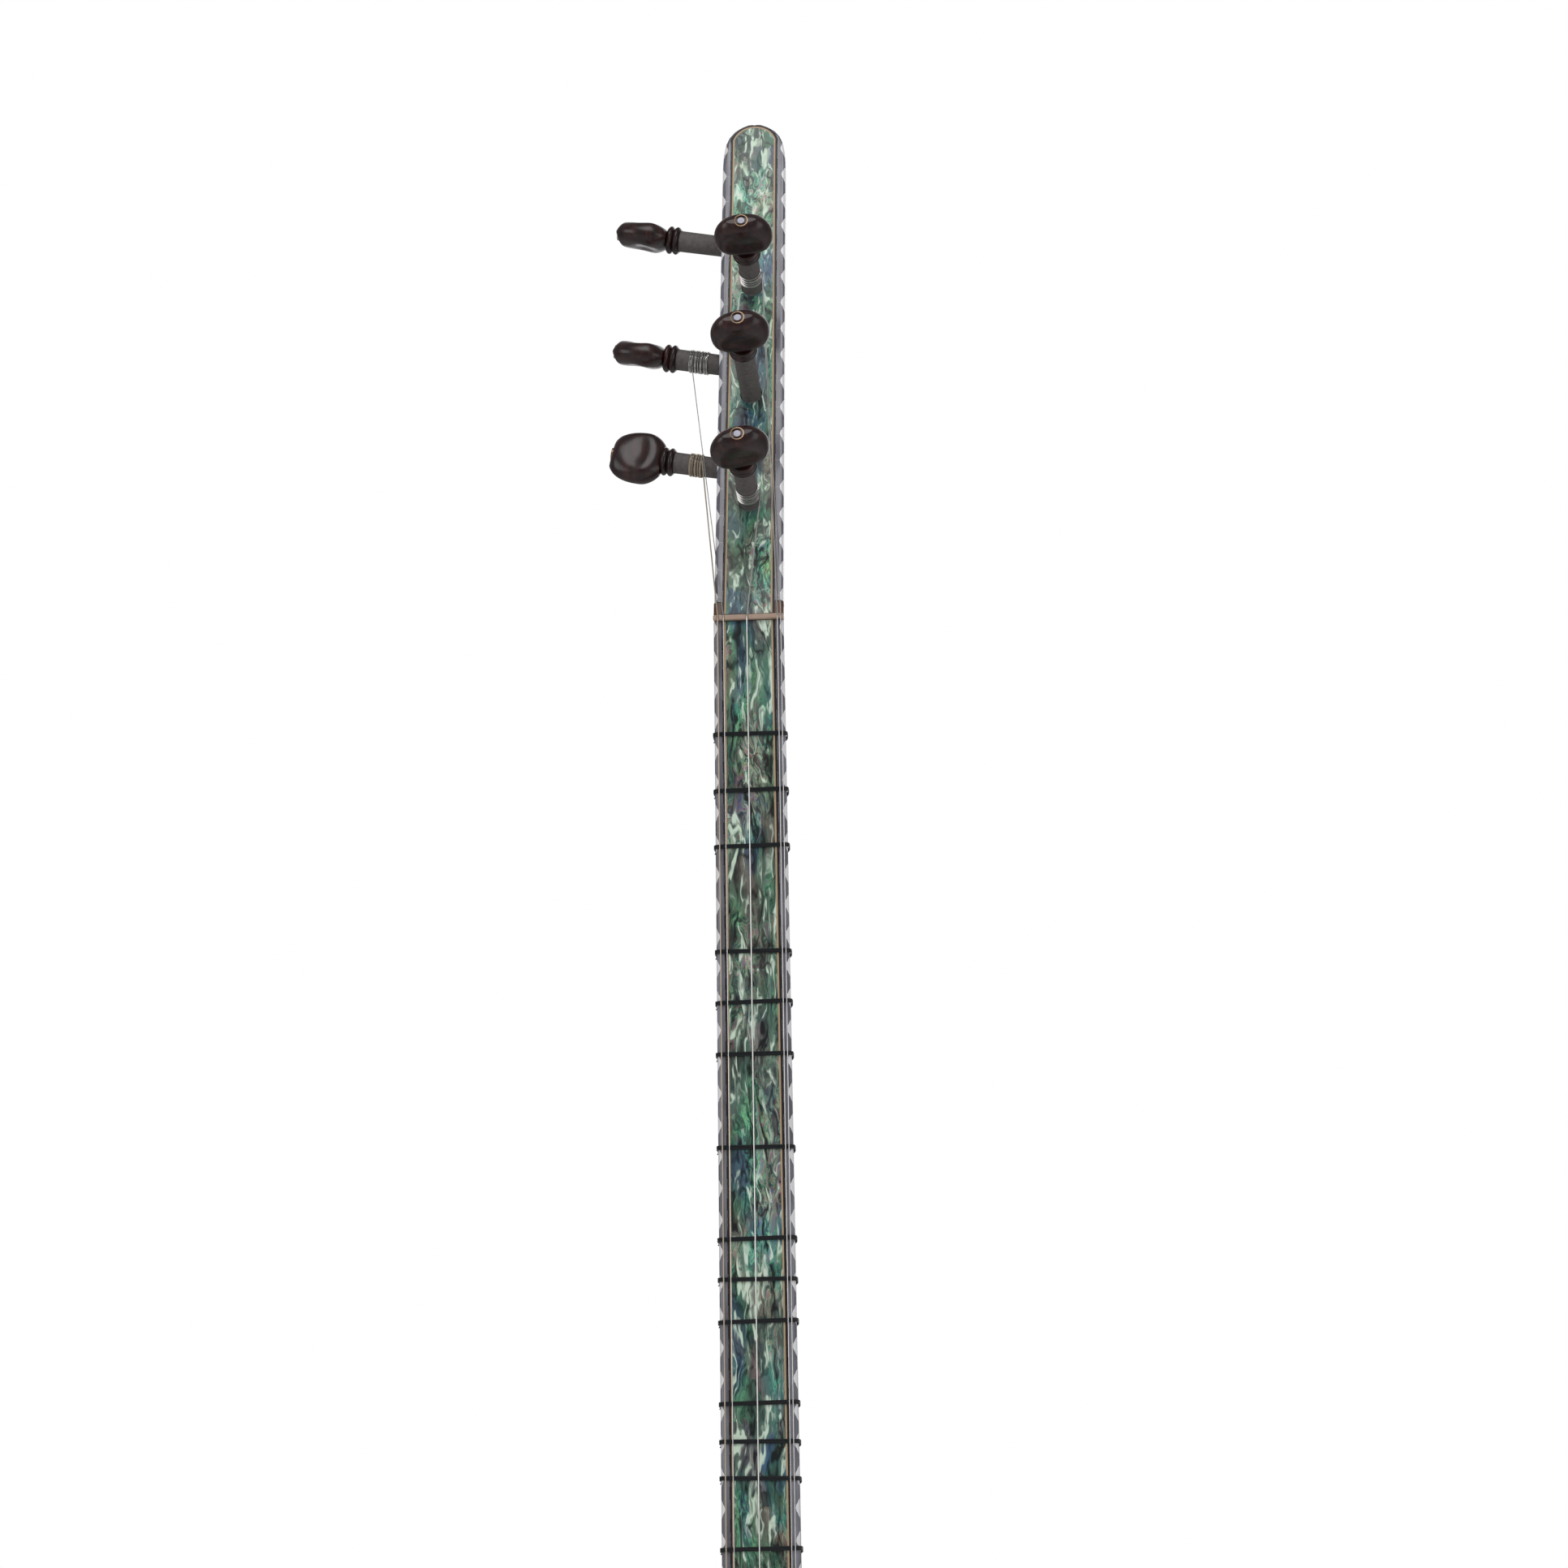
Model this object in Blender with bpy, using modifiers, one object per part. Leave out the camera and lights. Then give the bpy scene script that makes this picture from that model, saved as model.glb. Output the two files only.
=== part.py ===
"""Electric saz: a long-necked lute with six friction pegs, tied frets and a pickup.

The frame: x to the right seen from the front, y to the back, z up along the neck.
The origin is on the neck's rounded back, behind the nut, where a hanger carries it.
All lengths are in metres and all angles in degrees.
"""
import math

import bmesh
import bpy
import numpy as np
from mathutils import Matrix, Vector

# Fits
GAP = 0.0003
PEG_CLEARANCE = 0.0003
STRING_GAP = 0.0003

# Strings and scale
SCALE_LENGTH = 0.880
STRING_RADIUS = [0.00027, 0.00018, 0.00030, 0.00018, 0.00018]
STRING_X_AT_NUT = [-0.0126, -0.0102, -0.0004, 0.0123, 0.0137]
STRING_X_AT_BRIDGE = [-0.0146, -0.0104, 0.0004, 0.0136, 0.0152]
STRING_NAMES = ["string_bass", "string_left", "string_middle", "string_right", "string_edge"]

# Neck
NECK_WIDTH_NUT = 0.0292
NECK_WIDTH_BODY = 0.0330
NECK_DEPTH_NUT = 0.0220
NECK_DEPTH_BODY = 0.0320
NECK_LENGTH = 0.550
NECK_TOP_Z = 0.0070
SECTION_POWER = 2.2
CORNER_RADIUS = 0.0016
BACK_STEPS = 12
CORNER_STEPS = 3

# Fingerboard and its shell facing
FINGERBOARD_THICKNESS = 0.0040
FACING_THICKNESS = 0.0012
FACING_WIDTH_NUT = 0.0218
FACING_WIDTH_BODY = 0.0252

# Nut
NUT_THICKNESS = 0.0022
NUT_RISE = 0.0018
NUT_ROUNDING = 0.0005

# Peghead
PEGHEAD_TILT = 14.9
PEGHEAD_LENGTH = 0.2428
PEGHEAD_WIDTH_LOW = 0.0288
PEGHEAD_WIDTH_HIGH = 0.0270
PEGHEAD_THICKNESS_LOW = 0.0220
PEGHEAD_THICKNESS_HIGH = 0.0185
PEGHEAD_POWER = 3.0
PEGHEAD_FLAT_SHARE = 0.975  # where the rounded back reaches this share of its depth it is planed flat
PEGHEAD_DOME_LENGTH = 0.0260
PEGHEAD_DOME_POWER = 4.0
PEGHEAD_FACING_LOW = 0.0214
PEGHEAD_FACING_HIGH = 0.0198
PEGHEAD_FACING_INSET = 0.0006
PEGHEAD_FACING_RISE = 0.0074

# Pegs
FRONT_PEG_AT = [0.1600, 0.1066, 0.0539]
FRONT_PEG_REACH = [0.0519, 0.0611, 0.0559]
FRONT_PEG_TURN = [4.0, 7.0, 12.0]
FRONT_PEG_BACK = 0.0020
SIDE_PEG_AT = [0.1873, 0.1276, 0.0766]
SIDE_PEG_REACH = 0.0465
SIDE_PEG_LEAN = 10.9
SIDE_PEG_TURN = [68.0, 62.0, 6.0]
SIDE_PEG_DEPTH = 0.0105
SIDE_PEG_END_WALL = 0.0030
PEG_SHAFT_TIP_RADIUS = 0.0039
PEG_SHAFT_RADIUS = 0.0045
PEG_COLLAR_RADIUS = 0.0060
PEG_NECK_RADIUS = 0.0047
PEG_COLLAR_LENGTH = 0.0048
PEG_HEAD_LENGTH = 0.0225
PEG_HEAD_HALF_WIDTH = 0.0124
PEG_HEAD_HALF_THICKNESS = 0.0080
PEG_SIDES = 16

# Tied frets: the share of the string length and the small lean of each knotted loop
FRETS = [
    (0.0563, -0.5), (0.0833, 0.5), (0.1100, 0.4), (0.1601, -0.4), (0.1841, 0.7), (0.2086, -0.3),
    (0.2523, -0.4), (0.2948, 0.7), (0.3136, -0.4), (0.3330, 0.8), (0.3706, 0.6), (0.3882, -0.6),
    (0.4050, -1.1), (0.4371, 0.3), (0.4690, 0.0), (0.4844, 0.4), (0.5000, -0.3), (0.5278, 0.5),
    (0.5417, -0.2), (0.5556, 0.3), (0.5802, -0.4), (0.5926, 0.2), (0.6050, 0.0),
]
FRET_WIDTH = 0.0018
FRET_HEIGHT = 0.0009

# Body
BODY_LENGTH = 0.415
BODY_WIDTH = 0.240
BODY_DEPTH = 0.146
WIDEST_AT = 0.64
DEEPEST_AT = 0.60
SHOULDER_POWER = 1.15
KEEL_POWER = 1.05
BOWL_WALL = 0.0030
BOWL_STEPS = 16
SOUNDBOARD_THICKNESS = 0.0030

# Blocks and braces
TENON_WIDTH = 0.0110
TENON_DEPTH = 0.0130
TENON_SET_BACK = 0.0040
TENON_LENGTH = 0.0450
NECK_BLOCK_LENGTH = 0.0560
TAIL_BLOCK_LENGTH = 0.0240
TAIL_BLOCK_DEPTH = 0.0400
BLOCK_EASE = 0.0008
BRACE_Z = [-0.690, -0.845]
BRACE_WIDTH = 0.0070
BRACE_HEIGHT = 0.0110
BRACE_END_GAP = 0.0020

# Bridge and string holder
BRIDGE_LENGTH = 0.0600
BRIDGE_THICKNESS = 0.0050
BRIDGE_HEIGHT = 0.0105
BRIDGE_FOOT = 0.0100
BRIDGE_ARCH = 0.0045
HOLDER_LENGTH = 0.0440
HOLDER_THICKNESS = 0.0080
HOLDER_HEIGHT = 0.0062
HOLDER_SET_BACK = 0.0120
HOLDER_STRING_HEIGHT = 0.0034

# Pickup
PICKUP_Z = -0.770
PICKUP_LENGTH = 0.0660
PICKUP_WIDTH = 0.0170
PICKUP_STAND = 0.0040
PICKUP_DEPTH = 0.0170
RING_MARGIN = 0.0060
RING_THICKNESS = 0.0022

# Controls
CONTROL_X = 0.068
VOLUME_Z = -0.790
TONE_Z = -0.880
POT_RADIUS = 0.0120
POT_HEIGHT = 0.0080
BUSHING_RADIUS = 0.0045
BUSHING_STAND = 0.0025
POT_SHAFT_RADIUS = 0.0030
KNOB_RADIUS = 0.0090
KNOB_HEIGHT = 0.0150
KNOB_LIFT = 0.0008
KNOB_RECESS_DEPTH = 0.0040
KNOB_RECESS_RADIUS = 0.0060

# Output jack in the tail, whose collar is the strap button
JACK_SET_BACK = 0.0140
JACK_BARREL_RADIUS = 0.0060
JACK_BORE_RADIUS = 0.0033
JACK_BARREL_LENGTH = 0.0500
JACK_END_WALL = 0.0040
JACK_SEAT_DEPTH = 0.0014
COLLAR_LENGTH = 0.0110
COLLAR_RADIUS = 0.0085
COLLAR_WAIST = 0.0072
JACK_NUT_RADIUS = 0.0095
JACK_NUT_LENGTH = 0.0040
LEAD_RADIUS = 0.0012

# Values that follow from the ones above
FACE_Y = -NECK_DEPTH_NUT
BEND_Z = NUT_THICKNESS / 2 + GAP
RIM_Y = FACE_Y + FINGERBOARD_THICKNESS + GAP
SOUNDBOARD_Y = RIM_Y - GAP - SOUNDBOARD_THICKNESS
JOIN_Z = -NECK_LENGTH
BODY_TOP_Z = JOIN_Z - GAP
TAIL_Z = BODY_TOP_Z - BODY_LENGTH
BRIDGE_Z = -SCALE_LENGTH
BRIDGE_TOP_Y = SOUNDBOARD_Y - GAP - BRIDGE_HEIGHT
TILT = math.radians(PEGHEAD_TILT)
PEGHEAD_FRAME = Matrix.Translation((0, FACE_Y, BEND_Z)) @ Matrix.Rotation(-TILT, 4, "X")
HOLDER_Z = TAIL_Z + HOLDER_SET_BACK
JACK_Y = RIM_Y + JACK_SET_BACK

# Working sizes of the cutting pieces, all larger than what they cut
BIG = 1.0
PAST = 0.002


def clear_scene():
    """Remove every object and the collections this model makes."""
    for item in list(bpy.data.objects):
        bpy.data.objects.remove(item, do_unlink=True)
    for group in list(bpy.data.collections):
        bpy.data.collections.remove(group)


def new_collection(name):
    group = bpy.data.collections.new(name)
    bpy.context.scene.collection.children.link(group)
    return group


def linear(value):
    """Turn one sRGB channel from 0 to 1 into linear light."""
    return value / 12.92 if value <= 0.04045 else ((value + 0.055) / 1.055) ** 2.4


def make_material(name, colour, roughness, metallic=0.0):
    """A Principled material from a hex colour."""
    made = bpy.data.materials.new(name)
    made.use_nodes = True
    shader = made.node_tree.nodes["Principled BSDF"]
    channels = [linear(int(colour[i:i + 2], 16) / 255) for i in (0, 2, 4)]
    shader.inputs["Base Color"].default_value = (*channels, 1)
    shader.inputs["Roughness"].default_value = roughness
    shader.inputs["Metallic"].default_value = metallic
    return made


def put(name, mesh, group, finish=None, matrix=None):
    """Make an object of a mesh, in a collection, with a colour, roughness and metallic value."""
    made = bpy.data.objects.new(name, mesh)
    group.objects.link(made)
    if matrix is not None:
        made.matrix_world = matrix
    if finish:
        mesh.materials.append(make_material(name, *finish))
        mesh.shade_smooth()
        mesh.set_sharp_from_angle(angle=math.radians(35))
    else:
        made.hide_render = True
        made.display_type = "WIRE"
    return made


def mesh_from(name, build):
    """Run build on an empty bmesh, turn its faces outward and return the mesh."""
    work = bmesh.new()
    build(work)
    bmesh.ops.recalc_face_normals(work, faces=work.faces)
    mesh = bpy.data.meshes.new(name)
    work.to_mesh(mesh)
    work.free()
    return mesh


def loft(name, rings):
    """A closed solid through rings of equal point count, capped at both ends."""
    def build(work):
        rows = [[work.verts.new(point) for point in ring] for ring in rings]
        count = len(rows[0])
        for low, high in zip(rows, rows[1:]):
            for i in range(count):
                j = (i + 1) % count
                work.faces.new((low[i], low[j], high[j], high[i]))
        work.faces.new(rows[0])
        work.faces.new(rows[-1])
    return mesh_from(name, build)


def box(name, low, high):
    """A box between two corners."""
    low = Vector(low)
    high = Vector(high)

    def build(work):
        place = Matrix.Translation((low + high) / 2) @ Matrix.Diagonal((*(high - low), 1))
        bmesh.ops.create_cube(work, size=1, matrix=place)
    return mesh_from(name, build)


def rod(name, radius, low, high, sides=24, far_radius=None):
    """A straight rod or cone along local z from low to high."""
    def build(work):
        place = Matrix.Translation((0, 0, (low + high) / 2))
        bmesh.ops.create_cone(
            work, cap_ends=True, segments=sides, radius1=radius,
            radius2=radius if far_radius is None else far_radius, depth=high - low, matrix=place)
    return mesh_from(name, build)


def slab(name, outline, low, high, swap=None):
    """A flat outline in x and z, filled and given a thickness in y from low to high."""
    drawing = bpy.data.curves.new(name + "_outline", "CURVE")
    drawing.dimensions = "2D"
    drawing.fill_mode = "BOTH"
    drawing.extrude = (high - low) / 2
    spline = drawing.splines.new("POLY")
    spline.points.add(len(outline) - 1)
    for point, (x, z) in zip(spline.points, outline):
        point.co = (x, z, 0, 1)
    spline.use_cyclic_u = True
    holder = bpy.data.objects.new(name + "_drawing", drawing)
    bpy.context.scene.collection.objects.link(holder)
    bpy.context.view_layer.update()
    seen = holder.evaluated_get(bpy.context.evaluated_depsgraph_get())
    raw = bpy.data.meshes.new_from_object(seen)
    bpy.data.objects.remove(holder, do_unlink=True)

    def build(work):
        work.from_mesh(raw)
        bmesh.ops.remove_doubles(work, verts=work.verts, dist=1e-6)
        upright = Matrix(((1, 0, 0, 0), (0, 0, -1, (low + high) / 2), (0, 1, 0, 0), (0, 0, 0, 1)))
        bmesh.ops.transform(work, matrix=upright, verts=work.verts)
    return mesh_from(name, build)


def turned(name, profile, group, finish, matrix, steps=24):
    """A solid of revolution about local z; the profile of radius and height runs top to bottom."""
    def build(work):
        spots = [work.verts.new((radius, 0, height)) for radius, height in profile]
        for a, b in zip(spots, spots[1:]):
            work.edges.new((a, b))
    mesh = bpy.data.meshes.new(name)
    work = bmesh.new()
    build(work)
    work.to_mesh(mesh)
    work.free()
    made = put(name, mesh, group, finish, matrix)
    screw = made.modifiers.new("turn", "SCREW")
    screw.axis = "Z"
    screw.steps = steps
    screw.render_steps = steps
    screw.use_merge_vertices = True
    screw.merge_threshold = 1e-6
    screw.use_smooth_shade = True
    return made


def bevel(made, width, segments=2, angle=30):
    edge = made.modifiers.new("rounding", "BEVEL")
    edge.width = width
    edge.segments = segments
    edge.limit_method = "ANGLE"
    edge.angle_limit = math.radians(angle)
    return edge


def boolean(made, tool, operation="DIFFERENCE"):
    step = made.modifiers.new(operation.lower(), "BOOLEAN")
    step.operation = operation
    step.object = tool
    step.solver = "EXACT"
    return step


def section(half, front, back, corner, power):
    """One round-backed section, in x and y: flat front, rounded corners, superelliptic back."""
    side = front + corner
    turn = np.linspace(0, math.pi, BACK_STEPS + 1)
    reach = np.abs(np.cos(turn)) ** (2 / power) * np.sign(np.cos(turn))
    rounded = np.abs(np.sin(turn)) ** (2 / power)
    x = half * reach
    y = side + (back - side) * rounded
    y[0] = side
    y[-1] = side
    arc = np.linspace(0, math.pi / 2, CORNER_STEPS + 1)[1:]
    left_x = -half + corner - corner * np.cos(arc)
    left_y = side - corner * np.sin(arc)
    xs = np.concatenate([x, left_x, -left_x[::-1]])
    ys = np.concatenate([y, left_y, left_y[::-1]])
    return np.stack([xs, ys], axis=1)


def along_neck(z, at_nut, at_body):
    """A size that changes evenly from the nut to the body joint."""
    return at_nut + (at_body - at_nut) * (-z) / NECK_LENGTH


def neck_section(z, grow=0.0):
    """The section of neck and fingerboard together, grown evenly for what runs round it."""
    half = along_neck(z, NECK_WIDTH_NUT, NECK_WIDTH_BODY) / 2
    depth = along_neck(z, NECK_DEPTH_NUT, NECK_DEPTH_BODY)
    return section(half + grow, FACE_Y - grow, FACE_Y + depth + grow, CORNER_RADIUS + grow, SECTION_POWER)


def peghead_depth_at(z):
    """How far back the peghead's rear line lies at height z, continued down over the neck."""
    drop = BEND_Z - PEGHEAD_THICKNESS_LOW * math.sin(TILT)
    return FACE_Y + PEGHEAD_THICKNESS_LOW * math.cos(TILT) + (z - drop) * math.tan(TILT)


def neck_blank(name):
    """Neck and fingerboard as one outline, from the body joint to the peghead seam."""
    rings = []
    back_bend_z = BEND_Z - PEGHEAD_THICKNESS_LOW * math.sin(TILT)
    for z in (JOIN_Z, back_bend_z):
        rings.append([(x, y, z) for x, y in neck_section(z)])
    for z in (BEND_Z, NECK_TOP_Z):
        half = along_neck(z, NECK_WIDTH_NUT, NECK_WIDTH_BODY) / 2
        front = FACE_Y + (z - BEND_Z) * math.tan(TILT)
        ring = section(half, front, peghead_depth_at(z), CORNER_RADIUS, SECTION_POWER)
        rings.append([(x, y, z) for x, y in ring])
    return loft(name, rings)


def peghead_facing_outline(grow):
    """The shell strip on the peghead: nearly straight sides and a domed top, in x and along it."""
    top = PEGHEAD_LENGTH - PEGHEAD_FACING_INSET
    shoulder = top - PEGHEAD_FACING_RISE
    low = PEGHEAD_FACING_LOW / 2 + grow
    high = PEGHEAD_FACING_HIGH / 2 + grow
    rise = PEGHEAD_FACING_RISE + grow
    radius = (high ** 2 + rise ** 2) / (2 * rise)
    span = math.asin(min(1.0, high / radius))
    centre = shoulder + rise - radius
    arc = np.linspace(span, -span, 9)
    dome = [(radius * math.sin(a), centre + radius * math.cos(a)) for a in arc]
    start = -PAST if grow else GAP
    return [(-low, start), (low, start)] + dome


def fingerboard_facing_outline(grow):
    low_z = JOIN_Z - grow
    high_z = -BEND_Z + grow
    top = FACING_WIDTH_NUT / 2 + grow
    bottom = FACING_WIDTH_BODY / 2 + grow
    return [(-bottom, low_z), (bottom, low_z), (top, high_z), (-top, high_z)]


def make_neck(parts, cutters):
    """The wooden neck: round back, flat top under the fingerboard, tenon into the neck block."""
    neck = put("neck", neck_blank("neck"), parts, ("5A3A26", 0.45))
    seat = put("cut_fingerboard_seat",
               box("cut_fingerboard_seat", (-BIG, FACE_Y - BIG, JOIN_Z - PAST), (BIG, RIM_Y, BEND_Z)),
               cutters)
    boolean(neck, seat)
    channel = put("cut_peghead_channel_low",
                  slab("cut_peghead_channel_low", peghead_facing_outline(GAP), -PAST, FACING_THICKNESS + GAP),
                  cutters, matrix=PEGHEAD_FRAME)
    boolean(neck, channel)
    tenon = put("add_tenon", tenon_box("add_tenon", 0.0, TENON_SET_BACK), cutters)
    boolean(neck, tenon, "UNION")
    return neck


def tenon_box(name, grow, root):
    """The tenon, or with grow its mortise, rooted a little way inside the neck."""
    low = (-TENON_WIDTH / 2 - grow, RIM_Y + TENON_SET_BACK - grow, JOIN_Z - TENON_LENGTH - grow)
    high = (TENON_WIDTH / 2 + grow, RIM_Y + TENON_SET_BACK + TENON_DEPTH + grow, JOIN_Z + root)
    return box(name, low, high)


def make_fingerboard(parts, cutters):
    """The fingerboard: the front slice of the neck's outline, with a channel for the facing."""
    board = put("fingerboard", neck_blank("fingerboard"), parts, ("77767C", 0.3))
    back = FACE_Y + FINGERBOARD_THICKNESS
    rear = put("cut_behind_fingerboard",
               box("cut_behind_fingerboard", (-BIG, back, -BIG), (BIG, BIG, BIG)), cutters)
    boolean(board, rear)
    above = put("cut_above_fingerboard",
                box("cut_above_fingerboard", (-BIG, -BIG, -BEND_Z), (BIG, BIG, BIG)), cutters)
    boolean(board, above)
    outline = fingerboard_facing_outline(GAP)
    outline[0] = (outline[0][0], JOIN_Z - PAST)
    outline[1] = (outline[1][0], JOIN_Z - PAST)
    outline[2] = (outline[2][0], -BEND_Z + PAST)
    outline[3] = (outline[3][0], -BEND_Z + PAST)
    channel = put("cut_fingerboard_channel",
                  slab("cut_fingerboard_channel", outline, FACE_Y - PAST, FACE_Y + FACING_THICKNESS + GAP),
                  cutters)
    boolean(board, channel)
    put("fingerboard_facing",
        slab("fingerboard_facing", fingerboard_facing_outline(0.0), FACE_Y, FACE_Y + FACING_THICKNESS),
        parts, ("4F8C82", 0.15))


def make_nut(parts, cutters):
    """The bone nut between fingerboard and peghead, notched for the strings."""
    half = along_neck(0, NECK_WIDTH_NUT, NECK_WIDTH_BODY) / 2
    low = (-half, FACE_Y - NUT_RISE, -NUT_THICKNESS / 2)
    high = (half, RIM_Y - GAP, NUT_THICKNESS / 2)
    nut = put("nut", box("nut", low, high), parts, ("B49A88", 0.35))
    bevel(nut, NUT_ROUNDING, 2)
    for i, x in enumerate(STRING_X_AT_NUT):
        notch = rod(f"cut_nut_notch_{i + 1}", STRING_RADIUS[i] + STRING_GAP, -NUT_THICKNESS, NUT_THICKNESS, 8)
        place = Matrix.Translation((x, string_y_at_nut(i), 0))
        boolean(nut, put(f"cut_nut_notch_{i + 1}", notch, cutters, matrix=place))


def string_y_at_nut(i):
    """The string's centre stands half out of its notch."""
    return FACE_Y - NUT_RISE - STRING_RADIUS[i] / 2


def string_y_at_bridge(i):
    return BRIDGE_TOP_Y - STRING_RADIUS[i] / 2


def peghead_ring(s):
    """A section of the peghead at distance s along it, as half width and thickness."""
    share = s / PEGHEAD_LENGTH
    half = (PEGHEAD_WIDTH_LOW + (PEGHEAD_WIDTH_HIGH - PEGHEAD_WIDTH_LOW) * share) / 2
    thick = PEGHEAD_THICKNESS_LOW + (PEGHEAD_THICKNESS_HIGH - PEGHEAD_THICKNESS_LOW) * share
    into_dome = (s - PEGHEAD_LENGTH + PEGHEAD_DOME_LENGTH) / PEGHEAD_DOME_LENGTH
    round_off = math.sqrt(1 - max(0.0, into_dome) ** PEGHEAD_DOME_POWER)
    return half * round_off, thick * (0.35 + 0.65 * round_off)


def make_peghead(parts, cutters):
    """The peghead: flat front, nearly flat back, domed top, drilled for the six pegs."""
    tail = NECK_TOP_Z + PAST
    straight = np.linspace(-tail, PEGHEAD_LENGTH - PEGHEAD_DOME_LENGTH, 4)
    dome = PEGHEAD_LENGTH - PEGHEAD_DOME_LENGTH * (1 - np.array([0.25, 0.45, 0.62, 0.76, 0.87, 0.94, 0.985]))
    rings = []
    for s in np.concatenate([straight, dome]):
        half, thick = peghead_ring(s)
        corner = min(CORNER_RADIUS, 0.3 * half)
        outline = section(half, 0.0, thick, corner, PEGHEAD_POWER)
        raised = np.minimum(thick, corner + (outline[:, 1] - corner) / PEGHEAD_FLAT_SHARE)
        outline[:, 1] = np.where(outline[:, 1] > corner, raised, outline[:, 1])
        rings.append([(x, y, s) for x, y in outline])
    peghead = put("peghead", loft("peghead", rings), parts, ("6B6A70", 0.35), PEGHEAD_FRAME)
    seam = put("cut_below_seam",
               box("cut_below_seam", (-BIG, -BIG, -BIG), (BIG, BIG, NECK_TOP_Z + GAP)), cutters)
    boolean(peghead, seam)
    channel = put("cut_peghead_channel",
                  slab("cut_peghead_channel", peghead_facing_outline(GAP), -PAST, FACING_THICKNESS + GAP),
                  cutters, matrix=PEGHEAD_FRAME)
    boolean(peghead, channel)
    facing = put("peghead_facing",
                 slab("peghead_facing", peghead_facing_outline(0.0), 0.0, FACING_THICKNESS),
                 parts, ("4F8C82", 0.15), PEGHEAD_FRAME)
    for name, place, inner, _ in peg_places():
        hole = rod("cut_hole_" + name, PEG_SHAFT_RADIUS + PEG_CLEARANCE, -inner - hole_depth(name),
                   4 * PAST, PEG_SIDES)
        tool = put("cut_hole_" + name, hole, cutters, matrix=PEGHEAD_FRAME @ place)
        boolean(peghead, tool)
        if name.startswith("front"):
            boolean(facing, tool)


def hole_depth(name):
    """A front hole runs out of the back, a side hole ends just past its peg."""
    return PAST if name.startswith("front") else GAP


def peg_places():
    """Name, place in the peghead's frame, length inside the wood and reach outside, of each peg."""
    places = []
    for i, s in enumerate(FRONT_PEG_AT):
        turn = Matrix.Rotation(math.radians(90), 4, "X")
        spin = Matrix.Rotation(math.radians(FRONT_PEG_TURN[i]), 4, "Z")
        thick = peghead_ring(s)[1]
        places.append((f"front_peg_{i + 1}", Matrix.Translation((0, 0, s)) @ turn @ spin,
                       thick + FRONT_PEG_BACK, FRONT_PEG_REACH[i]))
    for i, s in enumerate(SIDE_PEG_AT):
        half = peghead_ring(s)[0]
        turn = Matrix.Rotation(math.radians(-90 + SIDE_PEG_LEAN), 4, "Y")
        spin = Matrix.Rotation(math.radians(SIDE_PEG_TURN[i]), 4, "Z")
        places.append((f"side_peg_{i + 1}", Matrix.Translation((-half, SIDE_PEG_DEPTH, s)) @ turn @ spin,
                       2 * half - SIDE_PEG_END_WALL, SIDE_PEG_REACH))
    return places


def peg_rings(inner, reach):
    """A peg about local z, from its tip in the wood to the rounded end of its head.

    The shaft is a slow cone, the collar two turned beads, and the head an oval paddle
    whose width swells and rounds off while its thickness thins towards the end.
    """
    collar = reach - PEG_HEAD_LENGTH - PEG_COLLAR_LENGTH
    rings = []
    turned_part = [(-inner, PEG_SHAFT_TIP_RADIUS), (0.0, PEG_SHAFT_RADIUS - 0.0001),
                   (collar, PEG_SHAFT_RADIUS)]
    beads = [(0.02, 1.0), (0.16, 0.72), (0.32, 0.05), (0.5, 0.05), (0.68, 0.85), (0.84, 0.85), (1.0, 0.0)]
    for share, swell in beads:
        radius = PEG_NECK_RADIUS + (PEG_COLLAR_RADIUS - PEG_NECK_RADIUS) * swell
        turned_part.append((collar + PEG_COLLAR_LENGTH * share, radius))
    turn = np.linspace(0, 2 * math.pi, PEG_SIDES, endpoint=False)
    for height, radius in turned_part:
        rings.append(np.stack([radius * np.cos(turn), radius * np.sin(turn), np.full(PEG_SIDES, height)], 1))
    base = collar + PEG_COLLAR_LENGTH
    for share in (0.1, 0.22, 0.36, 0.52, 0.68, 0.82, 0.92, 0.98, 1.0):
        wide, thick = peg_head_size(share)
        height = base + PEG_HEAD_LENGTH * share
        rings.append(np.stack([wide * np.cos(turn), thick * np.sin(turn), np.full(PEG_SIDES, height)], 1))
    return rings


def peg_head_size(share):
    """Half width and half thickness of the head at a share of its length."""
    middle = 0.46
    offset = (share - middle) / (1.04 - middle) if share > middle else (middle - share) / (middle + 0.035)
    outline = math.sqrt(max(0.0, 1 - offset ** 2.3))
    wide = PEG_NECK_RADIUS * 0.5 + (PEG_HEAD_HALF_WIDTH - PEG_NECK_RADIUS * 0.5) * outline
    swell = math.sin(math.pi * min(1.0, share * 1.9 + 0.22) / 2)
    thin = 1 - 0.42 * max(0.0, share - 0.3) / 0.7
    close = math.sqrt(max(0.05, 1 - max(0.0, (share - 0.86) / 0.145) ** 2))
    thick = PEG_HEAD_HALF_THICKNESS * swell * thin * close
    return wide, thick


def make_pegs(parts):
    """Six dark hardwood friction pegs: three through the front, three in the left side."""
    for name, place, inner, reach in peg_places():
        put(name, loft(name, peg_rings(inner, reach)), parts, ("2A1719", 0.3), PEGHEAD_FRAME @ place)


def make_frets(parts):
    """Tied frets: each a flat loop of nylon wraps round neck and fingerboard, a little askew."""
    for number, (share, lean) in enumerate(FRETS, 1):
        z = -SCALE_LENGTH * share
        inner = neck_section(z, GAP)
        outer = neck_section(z, GAP + FRET_HEIGHT)
        slope = math.tan(math.radians(lean))
        name = f"fret_{number:02d}"
        put(name, fret_mesh(name, inner, outer, slope), parts, ("17181A", 0.4), Matrix.Translation((0, 0, z)))


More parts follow.
